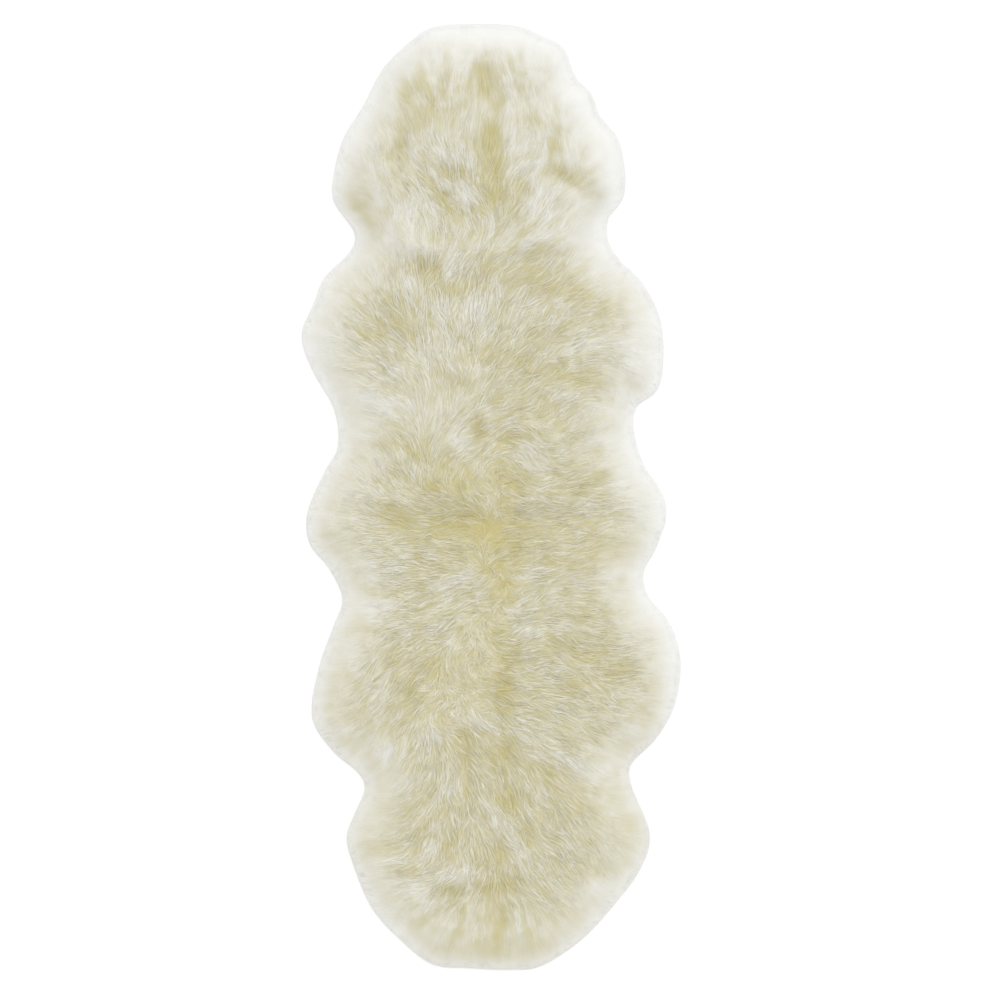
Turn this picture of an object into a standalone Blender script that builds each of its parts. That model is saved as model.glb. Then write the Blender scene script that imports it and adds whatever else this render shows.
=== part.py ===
"""Double sheepskin rug: two pelts joined end to end, laid flat with the wool upwards.

Metres, +Z up.  The rug lies on z = 0 with its middle at the origin, its head end towards +Y and
its foot end towards -Y.  Each pelt is a thin tanned hide and the wool that grows on it.  The wool
is a lumpy slab that overhangs the hide all round, comes down to the floor there and ends in locks.
"""
import math
import random
from collections import namedtuple

import bmesh
import bpy
from mathutils import Matrix, Vector, noise
from mathutils.geometry import delaunay_2d_cdt
from mathutils.kdtree import KDTree

MM = 0.001
RUG_NAME = "sheepskin_rug"
CLEARANCE = 0.3 * MM            # gap between neighbouring solids
SEAM_ALONG = -44 * MM           # where the two pelts meet

# The hides
HIDE_THICKNESS = 2.5 * MM
HIDE_INSET = 36 * MM            # from the wool's outline in to the hide's cut edge
HIDE_EDGE_STEP = 24 * MM

# The wool
CROWN = 45 * MM                 # height of the wool away from the rim
RIM_LIP = 11 * MM               # height of the slab's wall, where the locks start
SHOULDER = 78 * MM              # how far in from the wall the wool reaches its full height
SHOULDER_FULLNESS = 0.85        # lower is rounder
LOCK_LENGTH = 21 * MM           # from the slab's wall out to the outline
LOCK_PITCH = 17.5 * MM
LOCK_ROOT_SHARE = (0.68, 0.86)  # narrowest and widest root, as shares of the pitch
LOCK_WAIST = 0.5                # where along a lock it starts to draw to a point
LOCK_WAIST_SIZE = 0.76          # its size there, as a share of its root
LOCK_UNEVEN = 5 * MM            # how much shorter a lock may be than the longest
LOCK_LEAN = 4 * MM              # sideways drift of a lock's tip
LEAN_MEMORY = 0.6               # how much of its neighbour's lean a lock takes on
SURFACE_STEP = 19 * MM          # spacing of the points on the wool's surface
SURFACE_JITTER = 0.22           # their unevenness, as a share of the spacing
SURFACE_CLEAR = 0.62            # how clear of the wall they stay, as a share of the spacing
Lumps = namedtuple("Lumps", "wave relief offset")
TUFTS = Lumps(52 * MM, 7 * MM, Vector((8, 5, 0)))
SWELLS = Lumps(150 * MM, 5 * MM, Vector((3, 1, 0)))
CURVE_STEPS = 8                 # samples between two outline points
SQUARE_REACH = 32 * MM          # half the stretch of outline that an inset is square to
SEAM_FAN = 0.7                  # least spread of insets beside the seam, against the outline's

HEAD, FOOT = 1, -1

# Outline of the wool, clockwise: a row for each stretch, with its points across and along in
# millimetres, which a smooth curve runs through
Stretch = namedtuple("Stretch", "name points")
OUTLINE = [Stretch(*row) for row in (
    ("head end", ((-149, 870), (-108, 894), (-30, 900), (52, 895), (100, 874), (138, 853))),
    ("right lobe 1", ((160, 798), (190, 768), (206, 726), (243, 677), (256, 600), (247, 561))),
    ("right waist 1", ((223, 530), (222, 487))),
    ("right lobe 2", ((247, 447), (287, 408), (321, 340), (328, 262), (316, 203))),
    ("right waist 2", ((277, 172), (271, 130))),
    ("right lobe 3", ((288, 65), (326, 5), (332, -40), (314, -97))),
    ("right waist 3", ((290, -143), (298, -188))),
    ("right lobe 4", ((342, -245), (361, -318), (347, -402), (311, -463))),
    ("right waist 4", ((266, -509), (267, -550))),
    ("right lobe 5", ((302, -641), (284, -708), (240, -769), (174, -841))),
    ("foot end", ((97, -892), (40, -900), (-40, -897), (-113, -889), (-178, -838))),
    ("left lobe 5", ((-228, -781), (-262, -702), (-275, -648), (-260, -603))),
    ("left waist 4", ((-241, -558), (-252, -526))),
    ("left lobe 4", ((-303, -482), (-341, -418), (-328, -325), (-300, -246))),
    ("left waist 3", ((-283, -194),)),
    ("left lobe 3", ((-308, -137), (-346, -88), (-349, -28), (-317, 48))),
    ("left waist 2", ((-292, 95), (-299, 167))),
    ("left lobe 2", ((-341, 242), (-361, 308), (-338, 366), (-318, 416))),
    ("left waist 1", ((-268, 467), (-260, 503))),
    ("left lobe 1", ((-297, 556), (-302, 598), (-283, 678), (-244, 743), (-205, 816))),
)]

# Ridges (up) and hollows (down) of the wool: centre, half length and half width in millimetres,
# the direction that each one runs in degrees from +X, and its height in millimetres
Relief = namedtuple("Relief", "place across along half_length half_width direction height")
RELIEFS = [Relief(*row) for row in (
    ("parting at the seam", 20, -44, 330, 24, 0, -13),
    ("fringe across the head lobe, left", -120, 474, 105, 17, -8, 9),
    ("fringe across the head lobe, right", 65, 480, 70, 17, 4, 8),
    ("hollow under the fringe", -126, 430, 60, 20, -6, -11),
    ("hollow, head lobe, left", -174, 668, 40, 16, 80, -9),
    ("hollow, head lobe, middle", -85, 590, 60, 18, 65, -10),
    ("hollow, head lobe, top", -18, 808, 36, 14, 85, -9),
    ("parting, head lobe", 6, 620, 110, 15, 92, -9),
    ("hollow, head lobe, right", 160, 588, 70, 18, -38, -8),
    ("hollow, shoulder, left", -200, 290, 80, 22, -38, -6),
    ("ridge, shoulder, right", 120, 330, 130, 26, 38, 6),
    ("ridge, third lobe, left", -190, 190, 70, 20, -8, 7),
    ("spine, foot pelt", 30, -330, 270, 22, 90, -8),
    ("ridge, fourth lobe, right", 150, -470, 120, 26, -32, 6),
    ("ridge, fifth lobe, left", -100, -560, 100, 26, 82, 6),
    ("hollow, fifth lobe, left", -190, -650, 80, 20, -4, -9),
    ("ridge, fifth lobe, middle", -20, -700, 120, 22, 10, 8),
    ("hollow, foot end", 0, -780, 60, 20, 85, -6),
)]

Finish = namedtuple("Finish", "name colour roughness")
SUEDE = Finish("tanned suede", (0.74, 0.64, 0.49), 0.9)
IVORY_WOOL = Finish("ivory wool", (0.86, 0.84, 0.74), 0.95)


def clear_scene():
    for obj in list(bpy.data.objects):
        bpy.data.objects.remove(obj, do_unlink=True)


def new_collection(name):
    collection = bpy.data.collections.new(name)
    bpy.context.scene.collection.children.link(collection)
    return collection


def make_material(finish):
    material = bpy.data.materials.new(finish.name)
    material.use_nodes = True
    shader = material.node_tree.nodes["Principled BSDF"]
    shader.inputs["Base Color"].default_value = (*finish.colour, 1.0)
    shader.inputs["Roughness"].default_value = finish.roughness
    shader.inputs["Metallic"].default_value = 0.0
    return material


def smooth_outline():
    """A closed Catmull-Rom curve through the outline's points, as 2D vectors in metres."""
    knots = [Vector(point) * MM for stretch in OUTLINE for point in stretch.points]
    curve = []
    for i in range(len(knots)):
        before, start, end, after = (knots[(i + step) % len(knots)] for step in (-1, 0, 1, 2))
        for j in range(CURVE_STEPS):
            t = j / CURVE_STEPS
            curve.append(0.5 * (2 * start + (end - before) * t
                                + (2 * before - 5 * start + 4 * end - after) * t ** 2
                                + (3 * start - before - 3 * end + after) * t ** 3))
    return curve


def pelt_arc(outline, end):
    """The stretch of the outline that belongs to one pelt, from the seam round to the seam."""
    inside = [end * (point.y - SEAM_ALONG) > 0 for point in outline]
    first = next(i for i in range(len(outline)) if inside[i] and not inside[i - 1])
    turned = outline[first:] + outline[:first]
    count = sum(inside)
    start = on_seam(turned[-1], turned[0])
    finish = on_seam(turned[count - 1], turned[count])
    return [start] + turned[:count] + [finish]


def on_seam(one, other):
    return one.lerp(other, (SEAM_ALONG - one.y) / (other.y - one.y))


def line_length(line):
    return sum((line[i + 1] - line[i]).length for i in range(len(line) - 1))


def walk(line, distance):
    """The point of an open line of 2D vectors at a distance from its start."""
    for i in range(len(line) - 1):
        span = line[i + 1] - line[i]
        if distance <= span.length or i == len(line) - 2:
            return line[i] + span * min(distance / span.length, 1.0)
        distance -= span.length


def inset_point(arc, end, distance, depth):
    """The point that lies depth inside a pelt's outline at a distance along it.

    The way in is square to the outline, and along the seam at both of its ends.
    """
    total = line_length(arc)
    run = walk(arc, min(distance + SQUARE_REACH, total)) - walk(arc, max(distance - SQUARE_REACH, 0))
    inset = walk(arc, distance) + Vector((run.y, -run.x)).normalized() * depth
    from_end = min(distance, total - distance)
    past_seam = CLEARANCE / 2 + SEAM_FAN * from_end
    if from_end == 0.0 or end * (inset.y - SEAM_ALONG) < past_seam:
        inset.y = SEAM_ALONG + end * past_seam
    return inset


def wool_height(point, from_wall):
    """Height of the wool's surface at a 2D point that lies from_wall inside the slab's wall."""
    rise = min(max(from_wall, 0.0) / SHOULDER, 1.0)
    height = RIM_LIP + (CROWN - RIM_LIP) * math.sin(rise * math.pi / 2) ** SHOULDER_FULLNESS
    for lumps in (TUFTS, SWELLS):
        height += lumps.relief * noise.noise(point.to_3d() / lumps.wave + lumps.offset) * math.sqrt(rise)
    for relief in RELIEFS:
        offset = point - Vector((relief.across, relief.along)) * MM
        turn = math.radians(relief.direction)
        along = offset.x * math.cos(turn) + offset.y * math.sin(turn)
        across = offset.y * math.cos(turn) - offset.x * math.sin(turn)
        nearness = (along / (relief.half_length * MM)) ** 2 + (across / (relief.half_width * MM)) ** 2
        height += relief.height * MM * math.exp(-nearness) * rise
    return height


def finder(points):
    """A tree that finds the nearest of the given 2D points."""
    tree = KDTree(len(points))
    for i, point in enumerate(points):
        tree.insert(point.to_3d(), i)
    tree.balance()
    return tree


def surface_points(outline, border, end, rng):
    """Jittered points in rows, clear of the slab's border, where the surface is shaped."""
    border_finder = finder(border)
    row_step = SURFACE_STEP * math.sqrt(3) / 2
    columns = int(max(abs(point.x) for point in outline) / SURFACE_STEP)
    rows = int(max(end * (point.y - SEAM_ALONG) for point in outline) / row_step)
    points = []
    for row in range(1, rows + 1):
        for column in range(-columns, columns + 1):
            across = column + 0.5 * (row % 2) + rng.uniform(-1, 1) * SURFACE_JITTER
            along = row * row_step / SURFACE_STEP + rng.uniform(-1, 1) * SURFACE_JITTER
            point = Vector((across * SURFACE_STEP, SEAM_ALONG + end * along * SURFACE_STEP))
            if border_finder.find(point.to_3d())[2] > SURFACE_CLEAR * SURFACE_STEP:
                points.append(point)
    return points


def rim_and_tips(arc, end, rng):
    """Corners of the slab's wall, two for each lock between its ends, and the locks' tips."""
    total = line_length(arc)
    lock_count = int(total / LOCK_PITCH)
    pitch = total / lock_count
    middles = [(i + 0.5) * pitch for i in range(lock_count)]
    half_roots = [0.5 * pitch * rng.uniform(*LOCK_ROOT_SHARE) for _ in middles]
    sides = [middle + side * half for middle, half in zip(middles, half_roots) for side in (-1, 1)]
    rim = [inset_point(arc, end, distance, LOCK_LENGTH) for distance in [0.0] + sides + [total]]
    return rim, [walk(arc, middle) for middle in middles]


def seam_line(start, finish):
    """Points along the seam from one side of the slab to the other, both ends left out."""
    count = round((finish - start).length / SURFACE_STEP)
    return [start.lerp(finish, i / count) for i in range(1, count)]


def lay_out_slab(bm, lock_layer, rim, outline, end, rng):
    """Triangles on the floor inside the rim and the seam, each rim corner marked with its lock."""
    border = rim + seam_line(rim[-1], rim[0])
    inside = surface_points(outline, border, end, rng)
    plan = delaunay_2d_cdt(border + inside, [], [list(range(len(border)))], 1, 0.001 * MM)
    verts = [bm.verts.new(point.to_3d()) for point in plan[0]]
    for i in range(len(rim)):
        verts[i][lock_layer] = (i + 1) // 2
    for face in plan[2]:
        bm.faces.new([verts[i] for i in face])
    for vert in verts:
        if not vert.link_faces:
            bm.verts.remove(vert)


def raise_slab(bm, rim):
    """Draw the floor triangles up to the wool's surface, and leave one flat face under them."""
    floor_faces = bm.faces[:]
    raised = bmesh.ops.extrude_face_region(bm, geom=floor_faces, use_keep_orig=True)["geom"]
    rim_finder = finder(rim)
    for vert in (item for item in raised if isinstance(item, bmesh.types.BMVert)):
        vert.co.z = wool_height(vert.co.to_2d(), rim_finder.find(vert.co)[2])
    bmesh.ops.dissolve_faces(bm, faces=floor_faces)


def make_wool(name, end, outline, material, collection):
    """One pelt's wool: a lumpy slab with a wall of locks round its rim."""
    rng = random.Random(name)
    rim, tips = rim_and_tips(pelt_arc(outline, end), end, rng)
    bm = bmesh.new()
    lock_layer = bm.verts.layers.int.new("lock")
    lay_out_slab(bm, lock_layer, rim, outline, end, rng)
    raise_slab(bm, rim)
    add_locks(bm, lock_layer, tips, rng)
    bmesh.ops.recalc_face_normals(bm, faces=bm.faces[:])
    mesh = bpy.data.meshes.new(name)
    bm.to_mesh(mesh)
    bm.free()
    mesh.shade_smooth()
    mesh.materials.append(material)
    wool = bpy.data.objects.new(name, mesh)
    collection.objects.link(wool)
    return wool


def lock_walls(bm, lock_layer):
    """The upright face that each lock grows from, by the lock's number."""
    walls = {}
    for face in bm.faces:
        numbers = {vert[lock_layer] for vert in face.verts}
        if len(face.verts) == 4 and len(numbers) == 1 and 0 not in numbers:
            walls[numbers.pop()] = face
    return walls


def add_locks(bm, lock_layer, tips, rng):
    """Draw each lock out of its own face of the slab's wall, tapering to a tip on the floor."""
    walls = lock_walls(bm, lock_layer)
    lean = 0.0
    for number, tip in enumerate(tips, start=1):
        wall = walls[number]
        root = wall.calc_center_median() * Vector((1, 1, 0))
        run = tip.to_3d() - root
        run *= 1 - LOCK_UNEVEN * rng.random() ** 2 / run.length
        lean = LEAN_MEMORY * lean + (1 - LEAN_MEMORY) * rng.uniform(-1, 1)
        drift = Vector((-run.y, run.x, 0)).normalized() * (LOCK_LEAN * lean)
        waist = bmesh.ops.extrude_discrete_faces(bm, faces=[wall])["faces"][0]
        for vert in waist.verts:
            vert.co = root + run * LOCK_WAIST + (vert.co - root) * LOCK_WAIST_SIZE
        end = bmesh.ops.extrude_discrete_faces(bm, faces=[waist])["faces"][0]
        bmesh.ops.pointmerge(bm, verts=end.verts[:], merge_co=root + run + drift)


def flat_piece(name, line, thickness, collection):
    """A flat piece lying on the floor, from a filled 2D curve, made a mesh."""
    curve = bpy.data.curves.new(name + " outline", "CURVE")
    curve.dimensions = "2D"
    curve.fill_mode = "BOTH"
    curve.extrude = thickness / 2
    spline = curve.splines.new("POLY")
    spline.points.add(len(line) - 1)
    for spline_point, point in zip(spline.points, line):
        spline_point.co = (point.x, point.y, 0, 1)
    spline.use_cyclic_u = True
    guide = bpy.data.objects.new(name + " outline", curve)
    guide.location.z = thickness / 2
    collection.objects.link(guide)
    bpy.context.view_layer.update()
    evaluated = guide.evaluated_get(bpy.context.evaluated_depsgraph_get())
    mesh = bpy.data.meshes.new_from_object(evaluated)
    mesh.transform(guide.matrix_world)
    mesh.name = name
    bpy.data.objects.remove(guide, do_unlink=True)
    bm = bmesh.new()
    bm.from_mesh(mesh)
    bmesh.ops.remove_doubles(bm, verts=bm.verts[:], dist=0.01 * MM)
    bmesh.ops.recalc_face_normals(bm, faces=bm.faces[:])
    bm.to_mesh(mesh)
    bm.free()
    piece = bpy.data.objects.new(name, mesh)
    collection.objects.link(piece)
    return piece


def hide_line(outline, end, inset, past_seam):
    """A hide's cut edge: the pelt's outline moved in, closed across the seam."""
    arc = pelt_arc(outline, end)
    total = line_length(arc)
    count = round(total / HIDE_EDGE_STEP)
    edge = [inset_point(arc, end, total * i / count, inset) for i in range(count + 1)]
    edge[0].y = edge[-1].y = SEAM_ALONG + end * past_seam
    return edge


def make_hide(name, end, outline, material, collection):
    edge = hide_line(outline, end, HIDE_INSET, CLEARANCE / 2)
    hide = flat_piece(name, edge, HIDE_THICKNESS, collection)
    hide.data.materials.append(material)
    return hide


def make_hide_space(name, end, outline, collection):
    """The room under one pelt's wool that its hide lies in, a cutter."""
    edge = hide_line(outline, end, HIDE_INSET - CLEARANCE, -CLEARANCE)
    space = flat_piece(name, edge, HIDE_THICKNESS + CLEARANCE, collection)
    for vert in space.data.vertices:
        if vert.co.z < HIDE_THICKNESS / 2:
            vert.co.z = -CROWN
    space.hide_render = True
    space.display_type = "WIRE"
    return space


def cut_room(wool, space):
    cut = wool.modifiers.new("room for the hide", "BOOLEAN")
    cut.operation = "DIFFERENCE"
    cut.solver = "EXACT"
    cut.object = space


def centre_on_floor(pieces, cutters):
    """Shift everything so that the rug's box is centred on the origin and stands on z = 0."""
    corners = [vert.co for piece in pieces for vert in piece.data.vertices]
    low = Vector([min(corner[axis] for corner in corners) for axis in range(3)])
    high = Vector([max(corner[axis] for corner in corners) for axis in range(3)])
    shift = Matrix.Translation((-(low.x + high.x) / 2, -(low.y + high.y) / 2, -low.z))
    for obj in pieces + cutters:
        obj.data.transform(shift)


def build_rug():
    clear_scene()
    rug = new_collection(RUG_NAME)
    cutters = new_collection(RUG_NAME + " cutters")
    suede = make_material(SUEDE)
    ivory = make_material(IVORY_WOOL)
    outline = smooth_outline()
    pieces, spaces = [], []
    for place, end in (("head_end", HEAD), ("foot_end", FOOT)):
        hide = make_hide("hide_" + place, end, outline, suede, rug)
        wool = make_wool("wool_" + place, end, outline, ivory, rug)
        space = make_hide_space("hide_space_" + place, end, outline, cutters)
        cut_room(wool, space)
        pieces += [hide, wool]
        spaces.append(space)
    centre_on_floor(pieces, spaces)


build_rug()
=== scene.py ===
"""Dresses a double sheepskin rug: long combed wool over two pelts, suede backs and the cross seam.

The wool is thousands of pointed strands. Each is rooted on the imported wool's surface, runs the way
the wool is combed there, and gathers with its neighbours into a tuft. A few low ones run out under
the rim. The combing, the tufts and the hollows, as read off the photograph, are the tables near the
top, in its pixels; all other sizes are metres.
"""

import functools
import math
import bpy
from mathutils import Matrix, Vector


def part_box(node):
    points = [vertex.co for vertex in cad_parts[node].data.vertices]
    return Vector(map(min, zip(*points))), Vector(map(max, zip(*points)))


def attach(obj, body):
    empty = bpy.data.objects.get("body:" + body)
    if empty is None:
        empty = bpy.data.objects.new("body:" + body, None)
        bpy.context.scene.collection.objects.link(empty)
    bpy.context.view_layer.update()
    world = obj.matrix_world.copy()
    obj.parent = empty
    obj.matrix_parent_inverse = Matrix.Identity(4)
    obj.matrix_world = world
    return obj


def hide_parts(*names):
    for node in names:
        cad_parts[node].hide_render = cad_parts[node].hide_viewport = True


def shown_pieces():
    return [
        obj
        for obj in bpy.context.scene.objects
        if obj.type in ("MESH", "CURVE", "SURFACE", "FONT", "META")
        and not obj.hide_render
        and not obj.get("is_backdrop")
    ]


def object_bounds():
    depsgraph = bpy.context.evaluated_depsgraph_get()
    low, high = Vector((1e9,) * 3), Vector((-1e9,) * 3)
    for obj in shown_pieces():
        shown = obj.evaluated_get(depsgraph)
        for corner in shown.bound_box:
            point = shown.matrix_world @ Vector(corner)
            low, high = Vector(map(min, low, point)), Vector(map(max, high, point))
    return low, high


bl_info = {
    "name": "Sheepskin Rug Dressing",
    "version": (1, 0, 0),
    "blender": (4, 5, 0),
    "location": "3D Viewport > Sidebar > Sheepskin",
    "description": "Long wool, suede backs and cross seam of a two-pelt sheepskin rug",
    "category": "Add Mesh",
}

from collections import namedtuple

import bmesh
import bpy
import numpy as np
from bpy.props import FloatProperty, FloatVectorProperty, IntProperty, PointerProperty
from mathutils import Vector
from mathutils.bvhtree import BVHTree
from mathutils.kdtree import KDTree

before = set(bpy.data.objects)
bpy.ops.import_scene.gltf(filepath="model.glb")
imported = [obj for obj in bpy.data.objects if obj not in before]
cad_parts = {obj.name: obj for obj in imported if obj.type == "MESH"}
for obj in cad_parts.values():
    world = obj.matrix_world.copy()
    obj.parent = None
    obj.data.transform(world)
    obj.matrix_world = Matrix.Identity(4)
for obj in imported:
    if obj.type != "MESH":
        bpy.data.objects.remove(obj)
CAD_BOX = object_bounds()

MM = 0.001
BODY = "root"
PELTS = ("head_end", "foot_end")

# The photograph looks straight down. This pixel is over the frame's origin, and one is this long.
PHOTO_ORIGIN = (491.5, 497.0)
PIXEL = 1.9027 * MM
PHOTO_WIDTH = 1000
PHOTO_MIDDLE = (500.0, 500.0)

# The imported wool's rim: a low wall, from which the locks reach out to the outline.
RIM_LIP = 11 * MM
RIM_REACH = 21 * MM
RIM_SLACK = 0.2 * MM
HIDE_TOP = 2.5 * MM
CLEARANCE = 0.3 * MM

# The charts' cells, and how far the charts go beyond the rug.
SURVEY_STEP = 5 * MM
FLEECE_STEP = 2.5 * MM
SURVEY_MARGIN = 40 * MM

# Heights over the floor of the lowest wool, and of the wool tucked under the rim.
LOWEST_WOOL = 1.5 * MM
UNDER_WOOL = 1.2 * MM

# ---------------------------------------------------------------------------------------------
# The combing, read from the photograph: rows across the rug, each with places along it and
# the heading of the wool's tips there, in degrees from the photograph's right, turning to its top.
# A long row takes two lines.

CombRow = namedtuple("CombRow", "photo_y strokes")

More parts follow.
